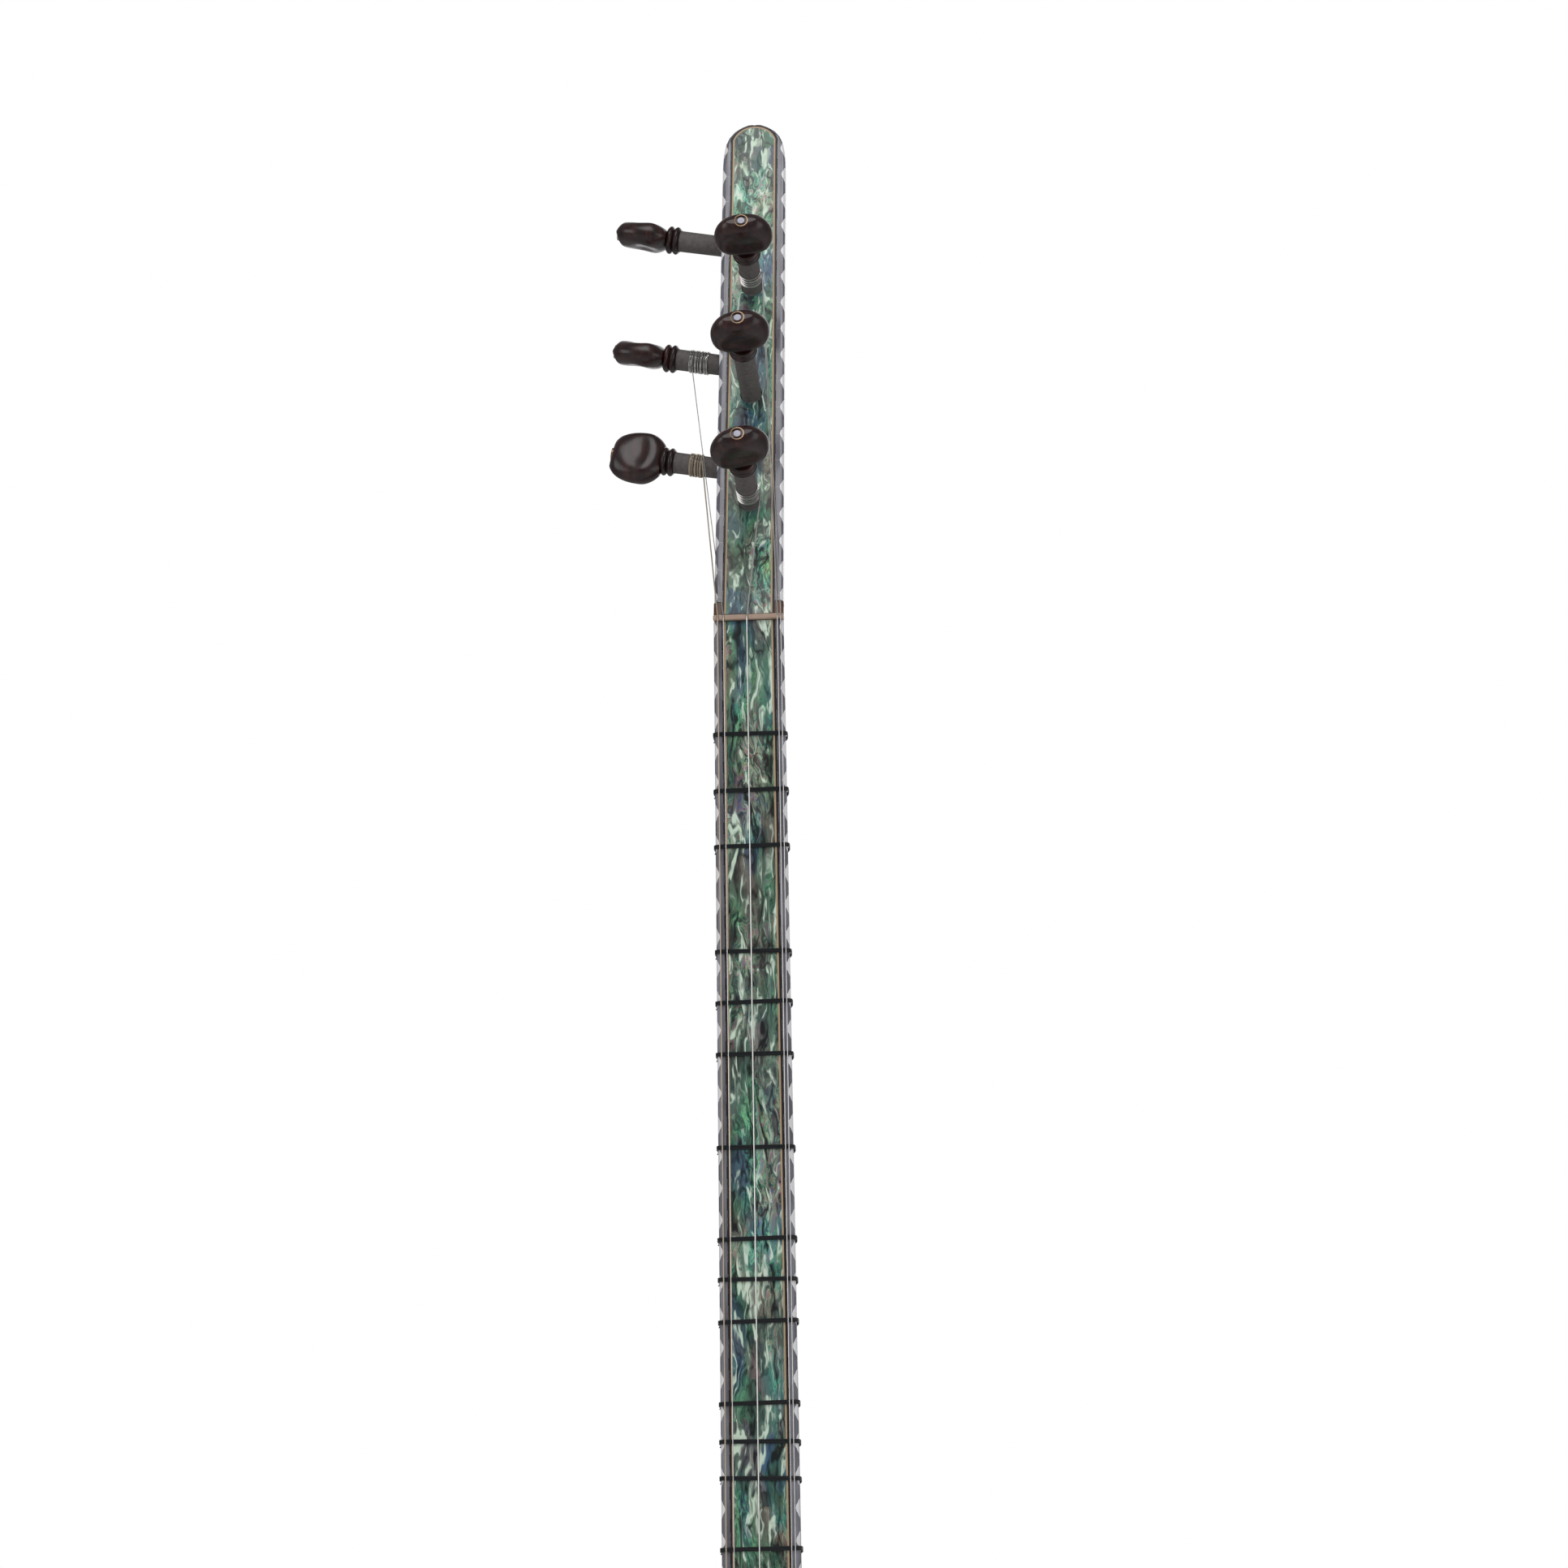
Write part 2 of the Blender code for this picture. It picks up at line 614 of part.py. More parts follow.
def fret_mesh(name, inner, outer, slope):
    """A closed loop with a flat rectangular section between two outlines."""
    def build(work):
        rows = []
        for outline, side in ((inner, -1), (inner, 1), (outer, 1), (outer, -1)):
            rows.append([work.verts.new((x, y, x * slope + side * FRET_WIDTH / 2)) for x, y in outline])
        for a, b in zip(rows, rows[1:] + rows[:1]):
            for i in range(len(a)):
                j = (i + 1) % len(a)
                work.faces.new((a[i], a[j], b[j], b[i]))
    return mesh_from(name, build)


def body_half_width(t):
    """Half the body's width at share t from the neck joint to the tail."""
    neck = NECK_WIDTH_BODY / 2
    widest = BODY_WIDTH / 2
    if t > WIDEST_AT:
        return widest * math.sqrt(max(0.0, 1 - ((t - WIDEST_AT) / (1 - WIDEST_AT)) ** 2))
    return neck + (widest - neck) * math.sin(math.pi / 2 * t / WIDEST_AT) ** SHOULDER_POWER


def body_depth(t):
    """The bowl's depth behind its rim at share t from the neck joint to the tail."""
    heel = NECK_DEPTH_BODY - FINGERBOARD_THICKNESS - GAP
    if t > DEEPEST_AT:
        return BODY_DEPTH * math.sqrt(max(0.0, 1 - ((t - DEEPEST_AT) / (1 - DEEPEST_AT)) ** 2))
    return heel + (BODY_DEPTH - heel) * math.sin(math.pi / 2 * t / DEEPEST_AT) ** KEEL_POWER


def body_z(t):
    return BODY_TOP_Z - BODY_LENGTH * t


def body_share(z):
    return (BODY_TOP_Z - z) / BODY_LENGTH


def inner_size(size, t, extra):
    """A half width or depth of the bowl's inside, square to its sloping wall."""
    step = 0.002
    slope = (size(min(t + step, 1.0)) - size(max(t - step, 0.0))) / (2 * step * BODY_LENGTH)
    return size(t) - (BOWL_WALL + extra) * math.sqrt(1 + slope ** 2)


def body_stations():
    """Shares along the body, closer together towards the tail, where it rounds off."""
    front = np.linspace(0, WIDEST_AT, 12)
    tail = WIDEST_AT + (1 - WIDEST_AT) * np.sin(np.linspace(0, math.pi / 2, 12))
    return np.concatenate([front, tail[1:]])


def make_bowl(parts, cutters):
    """The hollow bowl: a solid body outline hollowed by the same outline set in by the wall."""
    shares = body_stations()
    outer = [bowl_ring(t, body_half_width(t), body_depth(t), 0.0) for t in shares[:-1]]
    bowl = put("bowl", loft("bowl", outer + [bowl_tip(0.0)]), parts, ("6E3F22", 0.35))
    last = 1 - BOWL_WALL / BODY_LENGTH
    inner = []
    for t in shares[:-1]:
        share = t * last
        inner.append(bowl_ring(share, inner_size(body_half_width, share, 0.0),
                               inner_size(body_depth, share, 0.0), PAST))
    inner[0] = [(x, y, BODY_TOP_Z + PAST) for x, y, _ in inner[0]]
    hollow = put("cut_hollow", loft("cut_hollow", inner), cutters)
    boolean(bowl, hollow)
    boolean(bowl, jack_rod("cut_jack_wall", JACK_BARREL_RADIUS + GAP, BOWL_WALL + 0.004, cutters))
    boolean(bowl, jack_rod("cut_jack_seat", COLLAR_RADIUS + GAP, JACK_SEAT_DEPTH, cutters))
    return bowl


def bowl_ring(t, half, depth, above):
    """A closed bowl section at share t, its flat top the rim or a little above it."""
    turn = np.linspace(0, math.pi, BOWL_STEPS + 1)
    x = half * np.abs(np.cos(turn)) ** (2 / SECTION_POWER) * np.sign(np.cos(turn))
    y = RIM_Y + depth * np.abs(np.sin(turn)) ** (2 / SECTION_POWER)
    y[0] = RIM_Y - above
    y[-1] = RIM_Y - above
    return [(px, py, body_z(t)) for px, py in zip(x, y)]


def bowl_tip(above):
    """The small last section at the tail's end."""
    return [(x * 0.02, RIM_Y + (y - RIM_Y) * 0.02, TAIL_Z)
            for x, y, _ in bowl_ring(0.999, BODY_WIDTH / 2, BODY_DEPTH, above)]


def jack_rod(name, radius, depth, cutters, below=0.02):
    """A round cutter along the jack's axis, from below the tail up to a depth inside it."""
    place = Matrix.Translation((0, JACK_Y, TAIL_Z))
    return put(name, rod(name, radius, -below, depth + tail_rise(), 24), cutters, matrix=place)


def tail_rise():
    """How far the bowl's outside has risen from the tail's end at the jack's axis."""
    reach = (1 - DEEPEST_AT) * BODY_LENGTH
    return reach * (1 - math.sqrt(1 - (JACK_SET_BACK / BODY_DEPTH) ** 2))


def body_outline(grow, shares):
    right = [(body_half_width(t) + grow, body_z(t)) for t in shares[:-1]]
    left = [(-x, z) for x, z in reversed(right)]
    return right + [(0.0, TAIL_Z - grow)] + left


def make_soundboard(parts, cutters):
    """The flat soundboard, cut out for the pickup and drilled for the controls."""
    board = put("soundboard",
                slab("soundboard", body_outline(0.0, body_stations()), SOUNDBOARD_Y, RIM_Y - GAP),
                parts, ("B98B55", 0.35))
    half_x = PICKUP_LENGTH / 2 + GAP
    half_z = PICKUP_WIDTH / 2 + GAP
    window = put("cut_pickup_window",
                 box("cut_pickup_window", (-half_x, SOUNDBOARD_Y - PAST, PICKUP_Z - half_z),
                     (half_x, RIM_Y + PAST, PICKUP_Z + half_z)), cutters)
    boolean(board, window)
    for name, z in (("volume", VOLUME_Z), ("tone", TONE_Z)):
        hole = rod("cut_hole_" + name, BUSHING_RADIUS + GAP, -PAST, SOUNDBOARD_THICKNESS + PAST, 24)
        boolean(board, put("cut_hole_" + name, hole, cutters, matrix=control_frame(z)))
    return board


def control_frame(z):
    """A frame on the soundboard's front face, its z axis pointing out to the front."""
    turn = Matrix(((1, 0, 0, 0), (0, 0, -1, 0), (0, 1, 0, 0), (0, 0, 0, 1)))
    return Matrix.Translation((CONTROL_X, RIM_Y - GAP, z)) @ turn


def make_controls(parts):
    """Two potentiometers under the soundboard, each with a knob turned on its shaft."""
    reach = SOUNDBOARD_THICKNESS + BUSHING_STAND
    bore = POT_SHAFT_RADIUS + GAP
    for name, z in (("volume", VOLUME_Z), ("tone", TONE_Z)):
        frame = control_frame(z)
        pot = [(bore, reach), (BUSHING_RADIUS, reach), (BUSHING_RADIUS, -GAP), (POT_RADIUS, -GAP),
               (POT_RADIUS, -GAP - POT_HEIGHT), (0.0, -GAP - POT_HEIGHT)]
        floor = -GAP - POT_HEIGHT * 0.5
        profile = [(0.0, floor), (bore, floor)] + pot
        turned(name + "_pot", profile, parts, ("9A9A96", 0.35, 1.0), frame)
        low = SOUNDBOARD_THICKNESS + KNOB_LIFT
        top = low + KNOB_HEIGHT
        recess = low + KNOB_RECESS_DEPTH
        knob = [(0.0, top), (KNOB_RADIUS * 0.72, top), (KNOB_RADIUS * 0.84, top - 0.0012),
                (KNOB_RADIUS * 0.92, low + 0.0030), (KNOB_RADIUS, low + 0.0012), (KNOB_RADIUS, low),
                (KNOB_RECESS_RADIUS, low), (KNOB_RECESS_RADIUS, recess), (POT_SHAFT_RADIUS, recess),
                (POT_SHAFT_RADIUS, floor + GAP), (0.0, floor + GAP)]
        turned(name + "_knob", knob, parts, ("1C1A1A", 0.3), frame)


def make_blocks(parts, cutters):
    """The neck block with its mortise and the tail block bored for the jack."""
    rings = []
    for z in np.linspace(BODY_TOP_Z, BODY_TOP_Z - NECK_BLOCK_LENGTH, 5):
        rings.append(inside_ring(z, 1.0))
    block = put("neck_block", loft("neck_block", rings), parts, ("8A5A34", 0.6))
    mortise = put("cut_mortise", tenon_box("cut_mortise", GAP, PAST), cutters)
    boolean(block, mortise)
    low = TAIL_Z + BOWL_WALL + BLOCK_EASE + tail_rise_at(TAIL_BLOCK_DEPTH)
    rings = []
    for z in np.linspace(low, low + TAIL_BLOCK_LENGTH, 4):
        rings.append(inside_ring(z, 1.0, TAIL_BLOCK_DEPTH))
    tail = put("tail_block", loft("tail_block", rings), parts, ("8A5A34", 0.6))
    boolean(tail, jack_rod("cut_jack_block", JACK_BARREL_RADIUS + GAP, 0.08, cutters))


def tail_rise_at(depth):
    """How far the bowl's outside has risen from the tail's end at a depth behind the rim."""
    reach = (1 - DEEPEST_AT) * BODY_LENGTH
    return reach * (1 - math.sqrt(1 - (depth / BODY_DEPTH) ** 2))


def inside_ring(z, fill, deepest=BIG):
    """A section that fills the bowl's inside at height z, down to a greatest depth."""
    t = body_share(z)
    half = inner_size(body_half_width, t, BLOCK_EASE) * fill
    depth = inner_size(body_depth, t, BLOCK_EASE) * fill
    turn = np.linspace(0, math.pi, BACK_STEPS + 1)
    x = half * np.abs(np.cos(turn)) ** (2 / SECTION_POWER) * np.sign(np.cos(turn))
    y = RIM_Y + np.minimum(depth * np.abs(np.sin(turn)) ** (2 / SECTION_POWER), deepest)
    return np.stack([x, y, np.full(len(x), z)], axis=1)


def make_braces(parts):
    """Two cross braces glued under the soundboard, with tapered ends."""
    for name, z in zip(("brace_upper", "brace_lower"), BRACE_Z):
        half = inner_size(body_half_width, body_share(z), BRACE_END_GAP)
        end = BRACE_HEIGHT * 0.3
        outline = [(-half, 0.0), (half, 0.0), (half, end), (half * 0.8, BRACE_HEIGHT),
                   (-half * 0.8, BRACE_HEIGHT), (-half, end)]
        bar = loft(name, [[(x, RIM_Y + y, side) for x, y in outline]
                          for side in (-BRACE_WIDTH / 2, BRACE_WIDTH / 2)])
        put(name, bar, parts, ("C9A36B", 0.6), Matrix.Translation((0, 0, z)))


def make_bridge(parts, cutters):
    """The loose hardwood bridge: two feet, an arch between them and a notched thin top."""
    half = BRIDGE_LENGTH / 2
    inner = half - BRIDGE_FOOT
    arch = [(inner * math.cos(a), BRIDGE_ARCH * math.sin(a)) for a in np.linspace(0, math.pi, 9)]
    outline = [(half, 0.0), (half, 0.0030), (half * 0.84, BRIDGE_HEIGHT), (-half * 0.84, BRIDGE_HEIGHT),
               (-half, 0.0030), (-half, 0.0)] + [(-x, y) for x, y in arch]
    seat = SOUNDBOARD_Y - GAP
    rings = []
    for side in (-1, 1):
        ring = []
        for x, y in outline:
            lean = BRIDGE_THICKNESS / 2 * (1 - 0.55 * y / BRIDGE_HEIGHT)
            ring.append((x, seat - y, BRIDGE_Z + side * lean))
        rings.append(ring)
    bridge = put("bridge", loft("bridge", rings), parts, ("3A2420", 0.35))
    for i, x in enumerate(STRING_X_AT_BRIDGE):
        notch = rod(f"cut_bridge_notch_{i + 1}", STRING_RADIUS[i] + STRING_GAP,
                    -BRIDGE_THICKNESS, BRIDGE_THICKNESS, 8)
        place = Matrix.Translation((x, string_y_at_bridge(i), BRIDGE_Z))
        boolean(bridge, put(f"cut_bridge_notch_{i + 1}", notch, cutters, matrix=place))


def make_string_holder(parts, cutters):
    """The string holder at the tail: a hardwood bar with one slot for each string."""
    seat = SOUNDBOARD_Y - GAP
    low = (-HOLDER_LENGTH / 2, seat - HOLDER_HEIGHT, HOLDER_Z - HOLDER_THICKNESS / 2)
    high = (HOLDER_LENGTH / 2, seat, HOLDER_Z + HOLDER_THICKNESS / 2)
    holder = put("string_holder", box("string_holder", low, high), parts, ("3A2420", 0.35))
    bevel(holder, 0.0012, 2)
    for i, x in enumerate(STRING_X_AT_BRIDGE):
        half = STRING_RADIUS[i] + STRING_GAP
        y = seat - HOLDER_STRING_HEIGHT
        slot = box(f"cut_slot_{i + 1}", (x - half, seat - HOLDER_HEIGHT - PAST, HOLDER_Z - 0.5 * HOLDER_THICKNESS - PAST),
                   (x + half, y + half, HOLDER_Z + 0.5 * HOLDER_THICKNESS + PAST))
        boolean(holder, put(f"cut_slot_{i + 1}", slot, cutters))


def make_pickup(parts, cutters):
    """A magnetic pickup through the soundboard, in a raised ring."""
    low = (-PICKUP_LENGTH / 2, SOUNDBOARD_Y - PICKUP_STAND, PICKUP_Z - PICKUP_WIDTH / 2)
    high = (PICKUP_LENGTH / 2, SOUNDBOARD_Y - PICKUP_STAND + PICKUP_DEPTH, PICKUP_Z + PICKUP_WIDTH / 2)
    coil = put("pickup", box("pickup", low, high), parts, ("151416", 0.35))
    bevel(coil, 0.0010, 2)
    half_x = PICKUP_LENGTH / 2 + RING_MARGIN
    half_z = PICKUP_WIDTH / 2 + RING_MARGIN
    seat = SOUNDBOARD_Y - GAP
    ring = put("pickup_ring",
               box("pickup_ring", (-half_x, seat - RING_THICKNESS, PICKUP_Z - half_z),
                   (half_x, seat, PICKUP_Z + half_z)), parts, ("1B1A1C", 0.4))
    bevel(ring, 0.0008, 2)
    inner_x = PICKUP_LENGTH / 2 + GAP
    inner_z = PICKUP_WIDTH / 2 + GAP
    window = put("cut_ring_window",
                 box("cut_ring_window", (-inner_x, seat - RING_THICKNESS - PAST, PICKUP_Z - inner_z),
                     (inner_x, seat + PAST, PICKUP_Z + inner_z)), cutters)
    boolean(ring, window)


def seat_z():
    """The flat spot-faced seat of the strap collar on the tail."""
    return TAIL_Z + tail_rise() + JACK_SEAT_DEPTH


def make_jack(parts):
    """The output jack: a barrel through the tail, a strap collar outside and a nut inside."""
    seat = seat_z()
    outer = seat - GAP - COLLAR_LENGTH
    frame = Matrix.Translation((0, JACK_Y, outer))
    top = JACK_BARREL_LENGTH
    hole_top = top - JACK_END_WALL
    barrel = [(0.0, top), (JACK_BARREL_RADIUS * 0.8, top), (JACK_BARREL_RADIUS, top - 0.001),
              (JACK_BARREL_RADIUS, 0.0), (JACK_BORE_RADIUS, 0.0), (JACK_BORE_RADIUS, hole_top), (0.0, hole_top)]
    turned("jack_barrel", barrel, parts, ("B8B8B4", 0.25, 1.0), frame)
    bore = JACK_BARREL_RADIUS + GAP
    collar = [(bore, COLLAR_LENGTH), (COLLAR_RADIUS, COLLAR_LENGTH), (COLLAR_RADIUS, COLLAR_LENGTH - 0.0018),
              (COLLAR_WAIST, COLLAR_LENGTH - 0.0035), (COLLAR_WAIST, 0.0040), (COLLAR_RADIUS, 0.0016),
              (COLLAR_RADIUS - 0.0004, 0.0), (bore, 0.0), (bore, COLLAR_LENGTH)]
    turned("strap_collar", collar, parts, ("B8B8B4", 0.25, 1.0), frame)
    block_top = TAIL_Z + BOWL_WALL + BLOCK_EASE + tail_rise_at(TAIL_BLOCK_DEPTH) + TAIL_BLOCK_LENGTH
    low = block_top + GAP - outer
    nut = [(bore, low + JACK_NUT_LENGTH), (JACK_NUT_RADIUS, low + JACK_NUT_LENGTH), (JACK_NUT_RADIUS, low),
           (bore, low), (bore, low + JACK_NUT_LENGTH)]
    turned("jack_inner_nut", nut, parts, ("B8B8B4", 0.3, 1.0), frame)


def smooth_route(points, count):
    """Evenly spaced points on a smooth curve through the route's own points."""
    spots = np.array(points, dtype=float)
    padded = np.vstack([2 * spots[0] - spots[1], spots, 2 * spots[-1] - spots[-2]])
    dense = []
    for i in range(1, len(padded) - 2):
        u = np.linspace(0, 1, 40, endpoint=i == len(padded) - 3)[:, None]
        a, b, c, d = padded[i - 1:i + 3]
        dense.append(0.5 * (2 * b + (c - a) * u + (2 * a - 5 * b + 4 * c - d) * u ** 2
                            + (3 * b - a - 3 * c + d) * u ** 3))
    line = np.concatenate(dense)
    travelled = np.concatenate([[0], np.cumsum(np.linalg.norm(np.diff(line, axis=0), axis=1))])
    places = np.linspace(0, travelled[-1], count)
    return np.stack([np.interp(places, travelled, line[:, i]) for i in range(3)], axis=1)


def wire(name, points, radius, parts, finish):
    """A round wire along straight runs between its points, with closed ends."""
    drawing = bpy.data.curves.new(name, "CURVE")
    drawing.dimensions = "3D"
    drawing.bevel_depth = radius
    drawing.bevel_resolution = 2
    drawing.use_fill_caps = True
    drawing.render_resolution_u = 0
    spline = drawing.splines.new("POLY")
    spline.points.add(len(points) - 1)
    for point, spot in zip(spline.points, points):
        point.co = (*spot, 1)
    drawing.materials.append(make_material(name, *finish))
    made = bpy.data.objects.new(name, drawing)
    parts.objects.link(made)
    return made


def peg_shaft_contact(name, out, beside):
    """Where a string touches a peg's shaft: a distance out along it and beside it, in world."""
    place = {entry[0]: entry[1] for entry in peg_places()}[name]
    origin = place.to_translation()
    axis = (place.to_3x3() @ Vector((0, 0, 1))).normalized()
    return PEGHEAD_FRAME @ (origin + axis * out + Vector(beside))


def string_ends():
    """The last point of each string, beside the shaft of the peg that winds it."""
    reach = [PEG_SHAFT_RADIUS + STRING_GAP + radius for radius in STRING_RADIUS]
    return [
        peg_shaft_contact("side_peg_3", 0.0070, (0, -reach[0], 0)),
        peg_shaft_contact("side_peg_2", 0.0130, (0, -reach[1], 0)),
        peg_shaft_contact("front_peg_3", 0.0060, (reach[2], 0, 0)),
        peg_shaft_contact("front_peg_1", 0.0095, (reach[3], 0, 0)),
        peg_shaft_contact("front_peg_1", 0.0070, (reach[4], 0, 0)),
    ]


def make_strings(parts):
    """Five strings, each from the holder over bridge and nut to its peg."""
    for i, end in enumerate(string_ends()):
        x = STRING_X_AT_BRIDGE[i]
        start = (x, SOUNDBOARD_Y - GAP - HOLDER_STRING_HEIGHT, HOLDER_Z - HOLDER_THICKNESS / 2)
        crest = (x, string_y_at_bridge(i), BRIDGE_Z)
        nut = (STRING_X_AT_NUT[i], string_y_at_nut(i), 0.0)
        colour = "B9A68C" if i == 0 else "C9C7C2"
        wire(STRING_NAMES[i], [start, crest, nut, end], STRING_RADIUS[i], parts, (colour, 0.3, 1.0))


def make_leads(parts):
    """The internal leads: pickup to volume, volume to tone, tone to jack."""
    pot_back = RIM_Y + POT_HEIGHT + 2 * GAP
    pickup_back = SOUNDBOARD_Y - PICKUP_STAND + PICKUP_DEPTH + GAP
    jack_top = seat_z() - GAP - COLLAR_LENGTH + JACK_BARREL_LENGTH + GAP
    first = [(0.020, pickup_back, PICKUP_Z), (0.022, pickup_back + 0.010, PICKUP_Z),
             (0.036, pickup_back + 0.018, PICKUP_Z - 0.004), (0.056, pot_back + 0.016, VOLUME_Z + 0.006),
             (CONTROL_X - 0.004, pot_back + 0.008, VOLUME_Z + 0.001), (CONTROL_X - 0.004, pot_back, VOLUME_Z)]
    second = [(CONTROL_X + 0.004, pot_back, VOLUME_Z - 0.002),
              (CONTROL_X + 0.004, pot_back + 0.008, VOLUME_Z - 0.004),
              (CONTROL_X + 0.006, pot_back + 0.018, (VOLUME_Z + TONE_Z) / 2),
              (CONTROL_X + 0.004, pot_back + 0.008, TONE_Z + 0.004),
              (CONTROL_X + 0.004, pot_back, TONE_Z + 0.002)]
    third = [(CONTROL_X - 0.004, pot_back, TONE_Z), (CONTROL_X - 0.006, pot_back + 0.009, TONE_Z),
             (0.044, pot_back + 0.016, TONE_Z - 0.004), (0.018, JACK_Y + 0.004, jack_top + 0.022),
             (0.002, JACK_Y, jack_top + 0.014), (0.0, JACK_Y, jack_top)]
    for name, route in (("pickup_lead", first), ("link_lead", second), ("output_lead", third)):
        wire(name, smooth_route(route, 18), LEAD_RADIUS, parts, ("1A1A1C", 0.5))


def main():
    clear_scene()
    parts = new_collection("electric_saz")
    cutters = new_collection("cutters")
    make_neck(parts, cutters)
    make_fingerboard(parts, cutters)
    make_nut(parts, cutters)
    make_peghead(parts, cutters)
    make_pegs(parts)
    make_frets(parts)
    make_bowl(parts, cutters)
    make_soundboard(parts, cutters)
    make_blocks(parts, cutters)
    make_braces(parts)
    make_bridge(parts, cutters)
    make_string_holder(parts, cutters)
    make_pickup(parts, cutters)
    make_controls(parts)
    make_jack(parts)
    make_strings(parts)
    make_leads(parts)


main()
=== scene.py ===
import math

import bpy
import numpy as np
from bpy.props import FloatProperty, FloatVectorProperty, IntProperty
from mathutils import Matrix, Vector


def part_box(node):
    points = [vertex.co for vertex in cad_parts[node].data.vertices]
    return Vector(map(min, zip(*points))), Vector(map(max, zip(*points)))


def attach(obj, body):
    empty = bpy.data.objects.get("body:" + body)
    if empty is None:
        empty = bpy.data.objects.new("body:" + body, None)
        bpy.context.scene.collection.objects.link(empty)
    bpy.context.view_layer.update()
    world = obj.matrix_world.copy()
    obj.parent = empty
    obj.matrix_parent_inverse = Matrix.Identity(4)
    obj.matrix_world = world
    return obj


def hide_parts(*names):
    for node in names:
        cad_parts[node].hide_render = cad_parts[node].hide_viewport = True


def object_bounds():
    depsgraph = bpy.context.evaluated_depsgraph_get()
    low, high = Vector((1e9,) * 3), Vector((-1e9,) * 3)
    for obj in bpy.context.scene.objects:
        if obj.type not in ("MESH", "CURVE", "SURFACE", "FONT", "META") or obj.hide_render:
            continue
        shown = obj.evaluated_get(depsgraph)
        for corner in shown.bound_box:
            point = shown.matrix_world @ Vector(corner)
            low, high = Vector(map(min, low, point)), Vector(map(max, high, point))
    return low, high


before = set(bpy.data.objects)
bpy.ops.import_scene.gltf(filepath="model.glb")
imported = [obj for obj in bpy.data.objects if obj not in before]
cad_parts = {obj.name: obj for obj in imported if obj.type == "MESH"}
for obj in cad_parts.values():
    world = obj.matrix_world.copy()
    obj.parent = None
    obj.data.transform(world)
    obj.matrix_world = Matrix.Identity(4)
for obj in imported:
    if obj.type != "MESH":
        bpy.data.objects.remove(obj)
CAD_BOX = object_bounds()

bl_info = {
    "name": "Electric saz finish",
    "version": (1, 0, 0),
    "blender": (4, 5, 0),
    "location": "View3D > Sidebar > Saz",
    "description": "Finishes the pieces of an electric long-necked lute",
    "category": "Object",
}

ROOT = "instrument"
MM = 0.001

# Neck, in metres: x across, y from front to back, z up, with the nut at z = 0
FACE_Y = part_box("fingerboard_facing")[0].y
NECK_LENGTH = 0.550
NECK_WIDTH_NUT = 0.0292
NECK_WIDTH_BODY = 0.0330
NECK_DEPTH_NUT = 0.0220
NECK_DEPTH_BODY = 0.0320
NECK_CORNER = 0.0016
NECK_POWER = 2.2
BOWL_RIM_Y = -0.0177

# Shell facings and the lines beside them
FACING_HALF_BODY = 0.0126
FACING_HALF_NUT = 0.0109
HEAD_FACING_HALF_LOW = 0.0107
HEAD_FACING_HALF_TOP = 0.0099
HEAD_FACING_TOP = 0.2422
HEAD_FACING_DOME_RISE = 0.0074
HEAD_LINE_START = 0.0004
HEAD_LINE_END = 0.2345
LINE_STAND = 0.00006
LINE_DEPTH = 0.0006

# Peghead: its frame has z along it and y behind its face
BEND_Z = 0.0014
TILT = math.radians(14.9)
PEGHEAD_FRAME = Matrix.Translation((0, FACE_Y, BEND_Z)) @ Matrix.Rotation(-TILT, 4, "X")
PEGHEAD_LENGTH = 0.2428
PEGHEAD_WIDTH = 0.0288
PEGHEAD_NARROWING = 0.0018

# Frets: width of the tied band, and its gap from the neck
FRET_COUNT = 23
FRET_WIDTH = 0.0018
FRET_GAP = 0.0003

# Pegs: place along the peghead, reach, and turn in degrees about the peg's own axis
FRONT_PEGS = [(0.1600, 0.0519, 4.0), (0.1066, 0.0611, 7.0), (0.0539, 0.0559, 12.0)]
SIDE_PEGS = [(0.1873, 68.0), (0.1276, 62.0), (0.0766, 6.0)]
SIDE_REACH = 0.0465
SIDE_LEAN = 10.9
SIDE_DEPTH = 0.0105
HEAD_LENGTH = 0.0225
HEAD_HALF_WIDTH = 0.0124
HEAD_HALF_THICKNESS = 0.0080
HEAD_ROOT_HALF = 0.00235
COLLAR_LENGTH = 0.0048
SHAFT_RADIUS = 0.0045
SHAFT_RADIUS_INNER = 0.0044

# Windings: peg, start and pitch in metres, turns, finish
WINDINGS = [
    ("side_peg_3", 0.0066, 0.00075, 8, "wound"),
    ("side_peg_2", 0.0050, 0.00080, 11, "steel"),
    ("front_peg_3", 0.0045, 0.00130, 6, "steel"),
    ("front_peg_1", 0.0055, 0.00120, 6, "steel"),
]

POLE_COUNT = 6
POLE_SPREAD = 0.0225

# Camera: place in metres, aim in degrees, and focal length in pixels of the photograph
CAMERA_PLACE = (0.208879, FACE_Y - 2.322628, -0.582001)
CAMERA_PITCH = 12.36
CAMERA_YAW = 4.8
CAMERA_ROLL = -0.85
FOCAL_PIXELS = 7134.3
IMAGE_PIXELS = 1932
SENSOR_WIDTH = 36.0
CLIP_END = 50.0

# Lamps: name, place, target, power in watts, size in metres
LAMPS = [
    ("lamp_over", (0.3, -1.6, 1.9), (0, 0, 0.0), 24.0, 1.6),
    ("lamp_left", (-1.8, -1.4, 0.4), (0, 0, -0.2), 12.0, 1.4),
    ("lamp_right", (1.8, -1.0, -0.2), (0, 0, -0.4), 8.0, 1.4),
    ("lamp_back", (0.2, 2.2, 0.8), (0, 0, -0.3), 12.0, 1.8),
]
WORLD_LIGHT = 0.22
FLOOR_HALF = 60
FLOOR_DROP = 0.02

WHITE = (1, 1, 1, 1)


